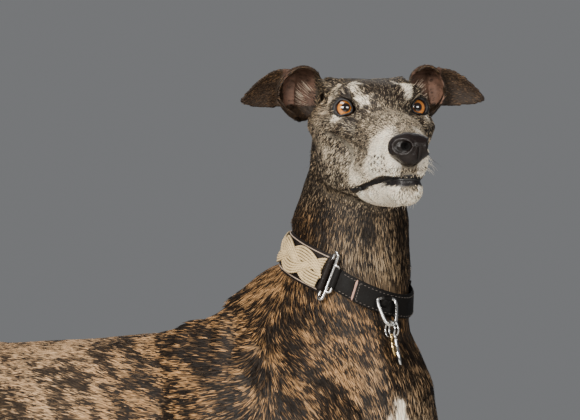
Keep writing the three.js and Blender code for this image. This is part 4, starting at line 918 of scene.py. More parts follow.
head_at = to_head(points)
body_at = to_dog(points)
ear_here = ear_share(head_at)
on_head = smoothstep(-112, -88, head_at[:, 2]) * smoothstep(-120, -95, head_at[:, 0])
on_face = smoothstep(-66, -40, head_at[:, 0]) * on_head
on_muzzle = smoothstep(30, 60, head_at[:, 0]) * on_face
on_neck = smoothstep(720, 770, body_at[:, 2] + 0.3 * (body_at[:, 0] - 100)) * (1 - on_head)
in_front = smoothstep(60, 130, body_at[:, 0]) * (body_at[:, 2] > 480)
on_leg = smoothstep(430, 380, body_at[:, 2])
on_paw = smoothstep(70, 50, body_at[:, 2])
length = np.full(len(points), 11.5)
width = np.full(len(points), 1.15)
dense = np.full(len(points), 0.26)
for share, long, wide, close in (
    (in_front, 10.0, 0.85, 0.5), (on_neck, 10.0, 0.75, 0.6), (on_leg, 7.5, 1.0, 0.3),
    (on_paw, 4.5, 0.75, 0.6), (on_head, 5.8, 0.5, 1.25), (on_face, 3.8, 0.36, 2.3),
    (on_muzzle, 3.0, 0.36, 2.5), (ear_here, 3.2, 0.46, 1.35),
):
    length = towards(length, long, share)
    width = towards(width, wide, share)
    dense = towards(dense, close, share)
hollow = ((outward @ HEAD_TURN)[:, 0] > 0.1) & (np.abs(head_at[:, 1]) < 74) & (ear_here > 0.5)
hollow = hollow & (head_at[:, 2] > 4 + 3 * ripple(head_at, 5, 43)) & (head_at[:, 0] < -70)
below_mouth = mouth_height(head_at[:, 0]) - head_at[:, 2]
lips = smoothstep(3.2, 1.8, np.abs(below_mouth))
lips = lips * smoothstep(10, 16, head_at[:, 0]) * (np.abs(head_at[:, 1]) < 34)
lower_lip = smoothstep(8.5, 6, below_mouth + 1.6 * ripple(head_at, 3, 44)) * (below_mouth > 0)
lower_lip = lower_lip * smoothstep(48, 80, head_at[:, 0]) * (head_at[:, 2] < -58)
lips = np.maximum(lips, lower_lip)
sole = (outward[:, 2] < -0.6) & (body_at[:, 2] < 9)
nose_gap = np.linalg.norm((head_at - np.array([112.0, 0, -37])) / np.array([11, 19, 18]), axis=1)
claw_gap = np.min([off_line(body_at, axis) for axis in CLAWS], axis=0)
bare = np.maximum.reduce([
    smoothstep(2.0, 1.3, off_lids(head_at)), lips, sole.astype(float), smoothstep(1.02, 0.9, nose_gap),
    smoothstep(4.2, 3.4, claw_gap) * (body_at[:, 2] < 20),
])
under_collar = np.abs((points - COLLAR_MID) @ COLLAR_UP) < 0.0155
under_collar = under_collar & (np.linalg.norm(points - COLLAR_MID, axis=1) < 0.1)
dense = dense * (1 - bare) * np.where(hollow, 0.12, 1) * np.where(under_collar, 0.05, 1)
put(skin_mesh, "Lie", "FLOAT_VECTOR", lie)
put(skin_mesh, "Length", "FLOAT", length * MM)
put(skin_mesh, "Width", "FLOAT", width * MM)
put(skin_mesh, "Density", "FLOAT", dense)
print("bare share of the skin:", round(float((dense < 0.02).mean()), 3))

# %% Colour the skin
share, pale, dark = markings(points)
skin_tone = towards(dark, pale, 0.8 * share[:, None])
mottle = 0.55 * grain(head_at, 5, 41) + 0.45 * grain(head_at, (2, 5, 1.6), 42)
# The skin in the ears' hollows is pink with a mottle, and darker towards the back and the top of the hollow:
# painted shade under the ear's curl.
deep = smoothstep(-96, -78, head_at[:, 0]) * smoothstep(30, 14, head_at[:, 2])
ear_skin_and_shade = EAR_SKIN * ((0.35 + 1.1 * mottle) * (0.45 + 0.55 * deep))[:, None]
skin_tone = np.where(hollow[:, None], ear_skin_and_shade, skin_tone)
lid_skin = smoothstep(2.7, 1.9, off_lids(head_at))
skin_tone = towards(skin_tone, LIP_SKIN, np.maximum(lid_skin, lips)[:, None])
skin_tone = np.where(sole[:, None], LIP_SKIN * 1.6, skin_tone)


def painted(mesh, rows):
    """Stores a colour for each point, for the materials to read."""
    put(mesh, "Markings", "FLOAT_COLOR", np.column_stack([np.clip(rows, 0, 1), np.ones(len(rows))]))


painted(skin_mesh, skin_tone)
put(skin_mesh, "Wet", "FLOAT", np.maximum(0.15 * lid_skin, lips))

# %% [markdown]
# ## An unwrap for the fur
#
# Every tuft needs a place on a flat map, at its root. A light copy of the skin is unwrapped once, and
# each tuft takes the map's place of the nearest spot on that copy.

# %% Unwrap a light copy of the skin
light = shown("Skin light", skin_mesh.copy())
thin = light.modifiers.new("Light", "DECIMATE")
thin.ratio = 0.03
light_mesh = settled(light)
light = shown("Skin light", light_mesh)
while light_mesh.uv_layers:
    light_mesh.uv_layers.remove(light_mesh.uv_layers[0])
light_mesh.uv_layers.new(name="OFBake")
bpy.context.view_layer.objects.active = light
bpy.ops.object.select_all(action="DESELECT")
light.select_set(True)
bpy.ops.object.mode_set(mode="EDIT")
bpy.ops.mesh.select_all(action="SELECT")
bpy.ops.uv.smart_project(angle_limit=math.radians(60), island_margin=0.004)
bpy.ops.object.mode_set(mode="OBJECT")
print("unwrapped", len(light_mesh.polygons), "faces")

# %% [markdown]
# ## Growing the fur
#
# One tuft is a thin blade of a square and a triangle, a little arched. Geometry Nodes scatter it over
# the skin by density, turn it to the lie, size it, and remember where it is rooted.

# %% Nodes and sockets by name
def add_node(tree, kind, settings=None, **sockets):
    """A node with these settings. Its sockets are linked or set by name, or by number as n0 and n1."""
    made = tree.nodes.new(kind)
    for key, value in (settings or {}).items():
        setattr(made, key, value)
    for key, value in sockets.items():
        if key[0] == "n" and key[1:].isdigit():
            socket = made.inputs[int(key[1:])]
        else:
            socket = next(s for s in made.inputs if s.enabled and s.name == key.replace("_", " "))
        if isinstance(value, bpy.types.NodeSocket):
            tree.links.new(value, socket)
        else:
            socket.default_value = value
    return made


def out_of(node, name=None):
    """The node's first live output, or the one of that name."""
    return next(s for s in node.outputs if s.enabled and name in (None, s.name))


# %% A small hand for geometry trees
class Tree:
    """A small hand for building a geometry tree."""

    def __init__(self, name):
        self.group = bpy.data.node_groups.new(name, "GeometryNodeTree")
        self.start = self.group.nodes.new("NodeGroupInput")
        self.end = self.group.nodes.new("NodeGroupOutput")
        self.size("Geometry", None, "NodeSocketGeometry")
        self.group.interface.new_socket("Geometry", in_out="OUTPUT", socket_type="NodeSocketGeometry")

    def size(self, name, value, kind="NodeSocketFloat"):
        """A named input of the tree."""
        socket = self.group.interface.new_socket(name, in_out="INPUT", socket_type=kind)
        if value is not None:
            socket.default_value = value
        return self.start.outputs[name]

    def add(self, kind, settings=None, give=None, **sockets):
        """The output of a new node: the named one, or its first."""
        return out_of(add_node(self.group, kind, settings, **sockets), give)

    def stored(self, name, kind="FLOAT"):
        """A stored value, read by name."""
        return self.add("GeometryNodeInputNamedAttribute", {"data_type": kind}, "Attribute", Name=name)

    def random(self, low, high, seed):
        """A random number for each tuft."""
        kind = {"data_type": "FLOAT"}
        return self.add("FunctionNodeRandomValue", kind, "Value", Min=low, Max=high, Seed=seed)

    def times(self, one, other):
        """Two numbers multiplied."""
        return self.add("ShaderNodeMath", {"operation": "MULTIPLY"}, n0=one, n1=other)

    def remember(self, geometry, name, value):
        """The geometry with a vector stored on its points."""
        kind = {"data_type": "FLOAT_VECTOR"}
        return self.add("GeometryNodeStoreNamedAttribute", kind, Geometry=geometry, Name=name, Value=value)

    def facing(self, up, ahead):
        """A rotation whose Z is up and whose Y is ahead."""
        axes = {"primary_axis": "Z", "secondary_axis": "Y"}
        return self.add("FunctionNodeAxesToRotation", axes, n0=up, n1=ahead)

    def finish(self, geometry, material):
        """Realize, paint and hand out."""
        real = self.add("GeometryNodeRealizeInstances", n0=geometry)
        self.group.links.new(
            self.add("GeometryNodeSetMaterial", Geometry=real, Material=material), self.end.inputs[0],
        )


def worked(piece, tree, sizes):
    """The mesh that a tree makes of a piece, with the named sizes set."""
    grow = piece.modifiers.new("Tree", "NODES")
    grow.node_group = tree.group
    keys = {s.name: s.identifier for s in tree.group.interface.items_tree if s.item_type == "SOCKET"}
    for name, value in sizes.items():
        grow[keys[name]] = value
    return settled(piece)


# %% A tree that grows tufts
hair = bpy.data.materials.new("Short hair")
tuft_mesh = bpy.data.meshes.new("Tuft")
tuft_mesh.from_pydata(
    [(-0.5, 0, -0.03), (0.5, 0, -0.03), (-0.4, 0.52, 0.04), (0.4, 0.52, 0.04), (0, 1, 0.03)],
    [],
    [(0, 1, 3, 2), (2, 3, 4)],
)
tuft = shown("Tuft", tuft_mesh)

grower = Tree("Fur from a skin")
per_area = grower.size("Tufts per square metre", 1000000.0)
unwrap = grower.size("Unwrapped skin", None, "NodeSocketObject")
blade = grower.size("Tuft shape", None, "NodeSocketObject")
sway = grower.size("Sway", 0.12)
scatter = add_node(
    grower.group, "GeometryNodeDistributePointsOnFaces",
    Mesh=grower.start.outputs["Geometry"], Density=grower.times(grower.stored("Density"), per_area), Seed=7,
)
upright = out_of(scatter, "Normal")
map_place = grower.add(
    "GeometryNodeSampleNearestSurface", {"data_type": "FLOAT_VECTOR"}, "Value",
    Mesh=grower.add("GeometryNodeObjectInfo", None, "Geometry", Object=unwrap),
    Value=grower.stored("OFBake", "FLOAT_VECTOR"),
)
rooted = grower.remember(out_of(scatter, "Points"), "Root", grower.add("GeometryNodeInputPosition"))
mapped = grower.remember(rooted, "RootMap", map_place)
turned = grower.add(
    "ShaderNodeVectorRotate", {"rotation_type": "AXIS_ANGLE"}, Vector=grower.stored("Lie", "FLOAT_VECTOR"),
    Axis=upright, Angle=grower.random(grower.times(sway, -1.0), sway, 3),
)
tilt = grower.add("ShaderNodeCombineXYZ", X=grower.random(0.0, 0.07, 5), Y=grower.random(-0.2, 0.2, 6))
tilted = grower.add(
    "FunctionNodeRotateRotation", {"rotation_space": "LOCAL"},
    Rotation=grower.facing(upright, turned), Rotate_By=tilt,
)
long = grower.times(grower.stored("Length"), grower.random(0.7, 1.25, 9))
planted = grower.add(
    "GeometryNodeInstanceOnPoints", Points=mapped, Rotation=tilted,
    Instance=grower.add("GeometryNodeObjectInfo", None, "Geometry", Object=blade),
    Scale=grower.add("ShaderNodeCombineXYZ", X=grower.stored("Width"), Y=long, Z=long),
)
grower.finish(planted, hair)

# %% Grow the fur
fur_mesh = worked(
    shown("Fur", skin_mesh.copy()),
    grower,
    {"Tufts per square metre": 1000000.0, "Unwrapped skin": light, "Tuft shape": tuft, "Sway": 0.12},
)
bpy.data.objects.remove(light)
bpy.data.objects.remove(tuft)
TUFT_POINTS = 5
count = len(fur_mesh.vertices) // TUFT_POINTS
print("tufts:", count, "triangles:", count * 3)


def stored(name):
    """What the tree remembered for each tuft."""
    return rows_of(fur_mesh.attributes[name].data, "vector").astype(float)[::TUFT_POINTS]


blade_points = coordinates(fur_mesh).reshape(-1, TUFT_POINTS, 3)
blade_points[:, :, 2] = np.maximum(blade_points[:, :, 2], 0)
roots = stored("Root")
root_maps = stored("RootMap")[:, :2]
bpy.data.meshes.remove(fur_mesh)

# %% [markdown]
# ## Colour by the tuft
#
# Each tuft draws its own lot, and the share of pale hairs at its root makes it mostly pale or mostly
# dark. That is what grizzles the face and frays the brindle's stripes. Tufts are darker at the root
# and lighter at the tip, a painted shade where the coat shades its own roots.

# %% Paint and part the fur
# Painted shade along each tuft, deepest at the root and lifting towards the tip.
TUFT_SHADE = np.array([0.55, 0.55, 0.95, 0.95, 1.12])  # root, root, middle, middle, tip
TUFT_CORNERS = np.array([0, 1, 3, 2, 2, 3, 4])
TUFT_MAP = np.array([(-1, -1), (1, -1), (1, 0.2), (-1, 0.2), (-1, 0.2), (1, 0.2), (0, 1)]) * 0.0015
draw = np.random.default_rng(31)
share, pale, dark = markings(roots)
lot = draw.random(count)
root_dog = to_dog(roots)
root_head = to_head(roots)
on_face = smoothstep(-100, -60, root_head[:, 0]) * smoothstep(-110, -85, root_head[:, 2])
spread = 0.85 + 0.15 * on_face
blur = 0.25 - 0.1 * on_face
is_pale = smoothstep(0, 1, (share - 0.5 - (lot - 0.5) * spread) / (2 * blur) + 0.5)
tone = towards(dark, pale, is_pale[:, None])
clump = grain(root_dog, 6, 51)
tone = tone * (draw.normal(1, 0.16, count).clip(0.6, 1.5) * (0.8 + 0.4 * clump))[:, None]
tone = towards(tone, tone * np.array([1.08, 0.97, 0.86]), draw.random(count)[:, None])

FUR_NAMES = [
    "Fur_breast", "Fur_shoulders", "Fur_ribs", "Fur_loin", "Fur_haunches", "Fur_forelegs", "Fur_hindlegs",
    "Fur_neck", "Fur_skull_and_ears", "Fur_face", "Fur_muzzle",
]
forward = root_dog[:, 0]
on_legs = root_dog[:, 2] < 400
over_collar = ((roots - COLLAR_MID) @ COLLAR_UP > 0) & (forward > 0)
on_skull = over_collar & (root_head[:, 2] > -95) & (root_head[:, 0] > -130)
region = np.zeros(count, int)
for number, here in enumerate((
    forward < 90, forward < -60, forward < -230, forward < -380, on_legs & (forward > -250),
    on_legs & (forward <= -250), over_collar, on_skull, on_skull & (root_head[:, 0] > -40),
    on_skull & (root_head[:, 0] > 30),
), 1):
    region[here] = number


# %% One piece of fur for each part of the dog
def piece_of(name, nets, material, replaces=()):
    """A finished piece of the model, from a mesh or from several nets."""
    mesh = nets if isinstance(nets, bpy.types.Mesh) else net_of(name, nets)
    mesh.materials.clear()
    mesh.materials.append(material)
    piece = shown(name, mesh)
    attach(piece, "root")
    if replaces:
        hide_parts(*replaces)
    print(name, "faces:", len(mesh.polygons))


for region_number, name in enumerate(FUR_NAMES):
    chosen = np.nonzero(region == region_number)[0]
    number = len(chosen)
    mesh = bpy.data.meshes.new(name)
    mesh.vertices.add(number * TUFT_POINTS)
    mesh.loops.add(number * len(TUFT_CORNERS))
    mesh.polygons.add(number * 2)
    each = np.arange(number)[:, None]
    corners = (each * TUFT_POINTS + TUFT_CORNERS).astype(np.int32)
    starts = (each * len(TUFT_CORNERS) + np.array([0, 4])).astype(np.int32)
    mesh.vertices.foreach_set("co", blade_points[chosen].astype(np.float32).ravel())
    mesh.loops.foreach_set("vertex_index", corners.ravel())
    mesh.polygons.foreach_set("loop_start", starts.ravel())
    mesh.update(calc_edges=True)
    mesh.polygons.foreach_set("use_smooth", [True] * (number * 2))
    painted(mesh, (tone[chosen][:, None, :] * TUFT_SHADE[None, :, None]).reshape(-1, 3))
    places = (root_maps[chosen][:, None, :] + TUFT_MAP[None]).astype(np.float32)
    mesh.uv_layers.new(name="OFBake").data.foreach_set("uv", places.ravel())
    piece_of(name, mesh, hair)

# %% [markdown]
# ## Hair and skin finishes
#
# Both read the markings from the mesh. Hair is only faintly shiny. Skin is duller, with a fine grain,
# and turns black and moist on the lips and lid rims.

# %% Materials of hair and skin
def finish(material, **values):
    """Turns nodes on and sets the shader's plain values. Gives the tree and the shader's inputs."""
    material.use_nodes = True
    inputs = material.node_tree.nodes["Principled BSDF"].inputs
    for key, value in values.items():
        inputs[key.replace("_", " ")].default_value = value
    return material.node_tree, inputs


def read(tree, name, output="Color"):
    """A value that the mesh stores, by name."""
    return add_node(tree, "ShaderNodeAttribute", {"attribute_name": name}).outputs[output]


def noise(tree, scale, detail):
    """Noise over the object's own places."""
    places = add_node(tree, "ShaderNodeTexCoord").outputs["Object"]
    return add_node(tree, "ShaderNodeTexNoise", Vector=places, Scale=scale, Detail=detail).outputs["Fac"]


def ranged(tree, value, low, high, start=0.0, stop=1.0):
    """The value, from start and stop to low and high."""
    reach = {"From_Min": start, "From_Max": stop, "To_Min": low, "To_Max": high}
    return add_node(tree, "ShaderNodeMapRange", Value=value, **reach).outputs["Result"]


def scaled(tree, colour, share):
    """The colour made darker or lighter."""
    by = {"operation": "SCALE"}
    return add_node(tree, "ShaderNodeVectorMath", by, n0=colour, Scale=share).outputs["Vector"]


def bumped(tree, height, strength, distance):
    """A fine bump from a height."""
    values = {"Height": height, "Strength": strength, "Distance": distance}
    return add_node(tree, "ShaderNodeBump", **values).outputs["Normal"]


tree, inputs = finish(hair, Roughness=0.52, Specular_IOR_Level=0.18)
tree.links.new(read(tree, "Markings"), inputs["Base Color"])

hide = bpy.data.materials.new("Skin")
tree, inputs = finish(hide, Specular_IOR_Level=0.3)
stained = scaled(tree, read(tree, "Markings"), ranged(tree, noise(tree, 160.0, 4.0), 0.7, 1.15))
tree.links.new(stained, inputs["Base Color"])
tree.links.new(ranged(tree, read(tree, "Wet", "Fac"), 0.68, 0.36), inputs["Roughness"])
tree.links.new(bumped(tree, noise(tree, 900.0, 3.0), 0.35, 0.0006), inputs["Normal"])
skin_mesh.materials.clear()
skin_mesh.materials.append(hide)

# %% [markdown]
# ## Small pieces from swept lines
#
# Lid rims, lips, claws, whiskers, wire and rings are all a round section swept along a line. One helper
# makes the rows of points and the faces between them, and another gathers such nets into one piece.

# %% Sweep a round section along a line
def wall(rows, sides, loop=False):
    """The faces between rows of points that each go once round, closed by a loop or by two ends."""
    faces = []
    for i in range(rows if loop else rows - 1):
        a = i * sides
        b = (i + 1) % rows * sides
        for j in range(sides):
            k = (j + 1) % sides
            faces.append((a + j, a + k, b + k, b + j))
    if not loop:
        faces.append(tuple(range(sides))[::-1])
        faces.append(tuple(range((rows - 1) * sides, rows * sides)))
    return faces


def swept(line, radii, sides=8, loop=False, out=None, flat=1.0):
    """A tube round a line: its points and faces. Out gives the section's first axis, and flat its squash."""
    line = np.asarray(line, float)
    count = len(line)
    radii = np.broadcast_to(np.asarray(radii, float), count)
    if loop:
        run = unit(np.roll(line, -1, axis=0) - np.roll(line, 1, axis=0))
    else:
        run = unit(np.gradient(line, axis=0))
    if out is None:
        first = [unit(np.cross(run[0], [0.13, 0.37, 0.92]))]
        for way in run[1:]:
            first.append(unit(first[-1] - (first[-1] @ way) * way))
        first = np.array(first)
    else:
        out = np.broadcast_to(out, line.shape)
        first = unit(out - np.sum(out * run, axis=1)[:, None] * run)
    second = np.cross(run, first)
    turns = np.arange(sides)[None, :, None] * 2 * math.pi / sides
    rings = flat * np.cos(turns) * first[:, None] + np.sin(turns) * second[:, None]
    points = (line[:, None] + radii[:, None, None] * rings).reshape(-1, 3)
    return points, wall(count, sides, loop)


def ball(angles, sides):
    """Directions in rings at these degrees from +Z, and the faces between them."""
    angles = np.radians(angles)
    line = np.cos(angles)[:, None] * np.array([[0, 0, 1.0]])
    return swept(line, np.sin(angles), sides, out=np.array([1.0, 0, 0]))


def blob(middle, radii, turn=np.eye(3), rows=10, sides=14):
    """A closed egg: its points and faces."""
    turns = np.linspace(0, math.pi, rows)
    line = np.stack([np.zeros(rows), np.zeros(rows), np.cos(turns)], axis=1)
    points, faces = swept(line * 0.999, np.maximum(np.sin(turns), 0.02), sides, out=np.array([1.0, 0, 0]))
    return points * np.asarray(radii) @ np.asarray(turn).T + middle, faces


# %% One mesh of several nets
def net_of(name, nets):
    """One mesh from several nets, shaded smooth and facing outwards."""
    first = 0
    rows = []
    faces = []
    for points, corners in nets:
        rows.append(points)
        faces += [tuple(c + first for c in face) for face in corners]
        first += len(points)
    mesh = bpy.data.meshes.new(name)
    mesh.from_pydata(np.vstack(rows), [], faces)
    net = bmesh.new()
    net.from_mesh(mesh)
    bmesh.ops.recalc_face_normals(net, faces=net.faces)
    net.to_mesh(mesh)
    net.free()
    mesh.polygons.foreach_set("use_smooth", [True] * len(mesh.polygons))
    return mesh


def smooth_line(line, count, loop=False):
    """A line of that many points through the given ones, without corners."""
    line = np.asarray(line, float)
    if loop:
        line = np.vstack([line[-1:], line, line[:2]])
    else:
        line = np.vstack([2 * line[0] - line[1], line, 2 * line[-1] - line[-2]])
    t = np.linspace(1, len(line) - 2, count, endpoint=not loop)
    i = np.minimum(t.astype(int), len(line) - 3)
    f = (t - i)[:, None]
    a, b, c, d = line[i - 1], line[i], line[i + 1], line[i + 2]
    cubic = 3 * b - a - 3 * c + d
    return 0.5 * (2 * b + (c - a) * f + (2 * a - 5 * b + 4 * c - d) * f ** 2 + cubic * f ** 3)


# %% Finishes of the small pieces
def plain(name, colour, rough, metal=0.0, coat=0.0, grain_size=None, bump=0.0, tone=0.0):
    """A material of one colour, or of the mesh's markings where the colour is None.

    A grain size adds a fine bump and wear in wide patches, and a tone mottles the colour with them.
    """
    material = bpy.data.materials.new(name)
    tree, inputs = finish(material, Roughness=rough, Metallic=metal, Coat_Weight=coat, Coat_Roughness=0.06)
    if colour is None:
        paint = read(tree, "Markings")
        tree.links.new(paint, inputs["Base Color"])
    else:
        paint = tuple(float(part) for part in colour)
        inputs["Base Color"].default_value = (*paint, 1)
    if grain_size:
        tree.links.new(bumped(tree, noise(tree, 1 / grain_size, 4.0), bump, 0.0005), inputs["Normal"])
        wide = noise(tree, 0.12 / grain_size, 5.0)
        worn = ranged(tree, wide, max(rough - 0.1, 0.02), rough + 0.14, 0.3, 0.7)
        tree.links.new(worn, inputs["Roughness"])
        if tone:
            mottled = scaled(tree, paint, ranged(tree, wide, 1 - tone, 1 + tone, 0.3, 0.7))
            tree.links.new(mottled, inputs["Base Color"])
    return material


# %% [markdown]
# ## Eyes
#
# Each eye is a ball with a slight bulge over an amber iris. Rings of points lie close together in
# front, and each point is painted: a soft dark pupil, spokes of gold and brown, a dark outer edge,
# and a painted shadow of the upper lid over the iris's top.

# %% Eyes
GAZE = {-1: (0.99, -0.096, 0.103), 1: (0.996, 0.042, 0.079)}
IRIS_EDGE = 43.0  # degrees from the gaze
eye_finish = plain("Eye", None, 0.12, coat=1.0)
wet_black = plain("Wet black skin", linear(12, 9, 9), 0.42, grain_size=0.0011, bump=0.35)


def eye_mesh(side):
    """One painted eyeball."""
    gaze = unit(np.array(GAZE[side]))
    across = unit(np.cross([0, 0, 1], gaze))
    basis = np.stack([across, np.cross(gaze, across), gaze], axis=1)
    points, faces = ball(np.concatenate([np.arange(0.4, 50, 0.9), np.arange(51, 180, 4)]), 120)
    t = np.degrees(np.arccos(np.clip(unit(points)[:, 2], -1, 1))) / IRIS_EDGE
    turn = np.arctan2(points[:, 1], points[:, 0])
    bulge = 0.45 * np.maximum(1 - t ** 2, 0) ** 2
    points = unit(points) * (EYE_BALL + bulge)[:, None]
    wheel = np.stack([np.cos(turn) * 9, np.sin(turn) * 9, t * 2], axis=1)
    spokes = grain(wheel * 3.2, 1, 71 + side) * 0.6 + grain(wheel * 7, 1, 73 + side) * 0.4
    high = np.sin(turn) * np.clip(t, 0, 1)
    gold = 0.95 * smoothstep(0.42, 0.62, t + 0.12 * (spokes - 0.5))
    tone = towards(linear(128, 72, 30), linear(196, 122, 44), gold[:, None])
    tone = tone * (0.72 + 0.56 * spokes)[:, None]
    tone = towards(tone, linear(96, 54, 30), smoothstep(0.82, 0.98, t)[:, None])
    # Painted shadow of the upper lid: the iris darkens towards its top and brightens a little at its bottom,
    # and the pupil's dark reaches higher.
    painted_lid_shadow = 1.0 - 0.6 * smoothstep(-0.1, 0.75, high) + 0.15 * smoothstep(0.2, 0.9, -high)
    tone = tone * painted_lid_shadow[:, None]
    pupil = smoothstep(0.56, 0.4, t - 0.1 * high + 0.05 * (spokes - 0.5))
    tone = towards(tone, linear(18, 10, 7), pupil[:, None])
    tone = towards(tone, linear(28, 18, 14), smoothstep(0.97, 1.02, t)[:, None])
    tone = towards(tone, linear(116, 92, 80), smoothstep(1.05, 1.3, t)[:, None])
    mesh = net_of("eye", [(from_head(points @ basis.T + eye_at(side)), faces)])
    painted(mesh, tone)
    return mesh


piece_of("Eye_right", eye_mesh(-1), eye_finish, ["eye_right"])
piece_of("Eye_left", eye_mesh(1), eye_finish, ["eye_left"])
lid_nets = []
for side, (middle, rays) in LID_EDGES.items():
    rim_line = from_head(middle + rays * (EYE_BALL + 0.95))
    lid_nets.append(swept(rim_line, 1.05 * MM, 10, loop=True, out=rays @ HEAD_TURN.T, flat=0.8))
    inner = rays[np.argmax((rays * np.array([0, -side, -0.35])).sum(axis=1))]
    corner_at = from_head(middle + inner * (EYE_BALL + 0.2))
    lid_nets.append(blob(corner_at, np.array([2.0, 1.7, 1.5]) * MM, HEAD_TURN))
piece_of("Lid_rims", lid_nets, wet_black)

# %% [markdown]
# ## Nose leather
#
# A ray for each direction finds the nose pad's surface, which is four eggs melted together. Nostrils,
# the comma-shaped slits behind them, the rims round them and the groove in front are pressed into it,
# and the pressed places and the gaps between the pebbles are painted darker as shade.

# %% Nose
NOSE_EGGS = [
    ((110, 0, -33.8), (14.5, 14.5, 11.2)), ((111, 0, -42), (12.5, 10, 9)),
    ((109, 10.5, -35), (12, 7.2, 9)), ((109, -10.5, -35), (12, 7.2, 9)),
]


def nose_field(at):
    """Negative inside the nose, in millimetres."""
    total = np.zeros(len(at))
    for middle, radii in NOSE_EGGS:
        k = np.linalg.norm((at - np.array(middle)) / np.array(radii), axis=1)
        total += np.exp(-(k - 1) * np.mean(radii) / 1.7)
    return -1.7 * np.log(total)


def nose_mesh():
    """The nose pad, painted."""
    heart = np.array([104.0, 0, -36])
    rays, faces = ball(np.concatenate([np.linspace(0.5, 112, 150), [125, 140, 160, 179]]), 200)
    rays = unit(rays)[:, [2, 0, 1]]
    near = np.zeros(len(rays))
    far = np.full(len(rays), 30.0)
    for _ in range(26):
        half = (near + far) / 2
        inside = nose_field(heart + rays * half[:, None]) < 0
        near = np.where(inside, half, near)
        far = np.where(inside, far, half)
    at = heart + rays * far[:, None]
    turned = (at - heart) @ np.array(Matrix.Rotation(math.radians(15), 3, "Z")) + heart
    both = mirrored(turned)
    hole_way = unit(np.array([0.93, 0.36, 0.04]))
    gone = both - np.array([116.0, 8.8, -34.2])
    gone = gone - (gone @ hole_way)[:, None] * hole_way
    from_hole = np.hypot(gone[:, 1] / 1.08, gone[:, 2])
    ahead = smoothstep(100, 106, at[:, 0])
    from_funnel = np.hypot((gone[:, 1] - 2.9) / 1.2, (gone[:, 2] + 0.5) / 1.02)
    funnel = smoothstep(6.3, 4.4, from_funnel) * ahead
    hole = smoothstep(4.6, 2.8, from_hole) * ahead
    slit = off_line(both, [(117, 12, -36.4), (112, 15.6, -37.6), (107, 17.6, -37)])
    press = 2.2 * funnel + 6.2 * hole + 2.4 * np.exp(-((slit / 1.8) ** 2)) * (1 - hole)
    rim = np.exp(-(((from_funnel - 6.6) / 1.1) ** 2)) * (1 - 0.7 * smoothstep(2.5, 1, slit))
    press -= 0.55 * rim * ahead
    press += 1.3 * np.exp(-((turned[:, 1] / 0.9) ** 2)) * smoothstep(-33, -38, at[:, 2]) * ahead
    press += 0.6 * np.exp(-((turned[:, 1] / 4) ** 2)) * smoothstep(-31, -27, at[:, 2])
    pebble = grain(at, 1.15, 81) * 0.6 + grain(at, 0.7, 82) * 0.4
    press -= 0.26 * (pebble - 0.5) * (1 - hole)
    at = at - rays * press[:, None]
    at[:, 0] = np.maximum(at[:, 0], 100.4)
    mesh = net_of("Nose", [(from_head(at), faces)])
    # Painted shade: the deeper a place is pressed in, the darker, so the nostrils are nearly black, and the
    # pebbles are lighter on their tops and darker between them.
    deep = np.clip(press / 3.4, 0, 1)
    tone = linear(22, 15, 13) * (0.75 + 0.5 * pebble)[:, None]
    tone = towards(tone, linear(8, 5, 4), deep[:, None])
    painted(mesh, tone)
    put(mesh, "Deep", "FLOAT", smoothstep(0.75, 1, deep))
    return mesh


nose_finish = bpy.data.materials.new("Nose leather")
tree, inputs = finish(nose_finish, Specular_IOR_Level=0.32)
tree.links.new(read(tree, "Markings"), inputs["Base Color"])
tree.links.new(ranged(tree, read(tree, "Deep", "Fac"), 0.3, 1.0), inputs["Roughness"])
tree.links.new(bumped(tree, noise(tree, 1 / 0.0007, 4.0), 0.45, 0.0005), inputs["Normal"])
piece_of("Nose", nose_mesh(), nose_finish, ["nose"])

# %% [markdown]
# ## Lips and whiskers
#
# The lips' black edges are beads that follow the mouth. Rays shot inwards find the skin at each step
# along it. Whiskers stand in rows on the muzzle, each from a dark dot. Single hairs stand on brow, cheek
# and chin, lashes on the upper lids, and pale hairs in the hollows of the ears.

# %% Lips
skin_tree = tree_of(skin_mesh)


def on_skin(start, way):
    """Where a ray from outside meets the skin, in the head's millimetres, or None."""
    hit = skin_tree.ray_cast(Vector(from_head([start])[0]), Vector(HEAD_TURN @ unit(np.array(way, float))))
    return None if hit[0] is None else to_head([hit[0]])[0]


def lip_line(raise_by):
    """Points along the mouth from one corner round the front to the other."""
    line = []
    for x in np.arange(17, 90, 3.0):
        line.append(on_skin((x, -60, mouth_height(x) + raise_by), (0, 1, 0)))
    for turn in np.radians(np.arange(-84, 85, 7)):
        way = np.array([math.cos(turn), math.sin(turn), 0])
        line.append(on_skin(np.array([88, 0, mouth_height(104) + raise_by]) + 60 * way, -way))
    for x in np.arange(89, 16, -3.0):
        line.append(on_skin((x, 60, mouth_height(x) + raise_by), (0, -1, 0)))
    line = np.array([p for p in line if p is not None])
    for _ in range(3):
        line[1:-1] = 0.5 * line[1:-1] + 0.25 * (line[:-2] + line[2:])
    return line


LIP_POINTS = 160
lip_nets = []
for raise_by, thick in ((-1.7, 1.2), (1.6, 1.0)):
    line = lip_line(raise_by)
    line[:, 1] *= 1 - 0.7 / 26
    step = np.arange(len(line))
    thin_ends = smoothstep(0, 8, step) * smoothstep(0, 8, step[::-1])
    front = smoothstep(40, 88, line[:, 0])
    radii = (0.5 + (thick * (0.65 + 0.35 * front) - 0.5) * thin_ends) * MM
    radii = np.interp(np.linspace(0, 1, LIP_POINTS), np.linspace(0, 1, len(line)), radii)
    lip_nets.append(swept(from_head(smooth_line(line, LIP_POINTS)), radii, 10))
for side in (-1, 1):
    corner = [on_skin((x, 60 * side, -71.6 + 0.12 * (x - 12)), (0, -side, 0)) for x in (11, 15, 20, 26)]
    line = smooth_line([p for p in corner if p is not None], 16)
    lip_nets.append(swept(from_head(line), np.array([0.5] + [2.3] * 14 + [0.7]) * MM, 10))
piece_of("Lip_edges", lip_nets, wet_black)

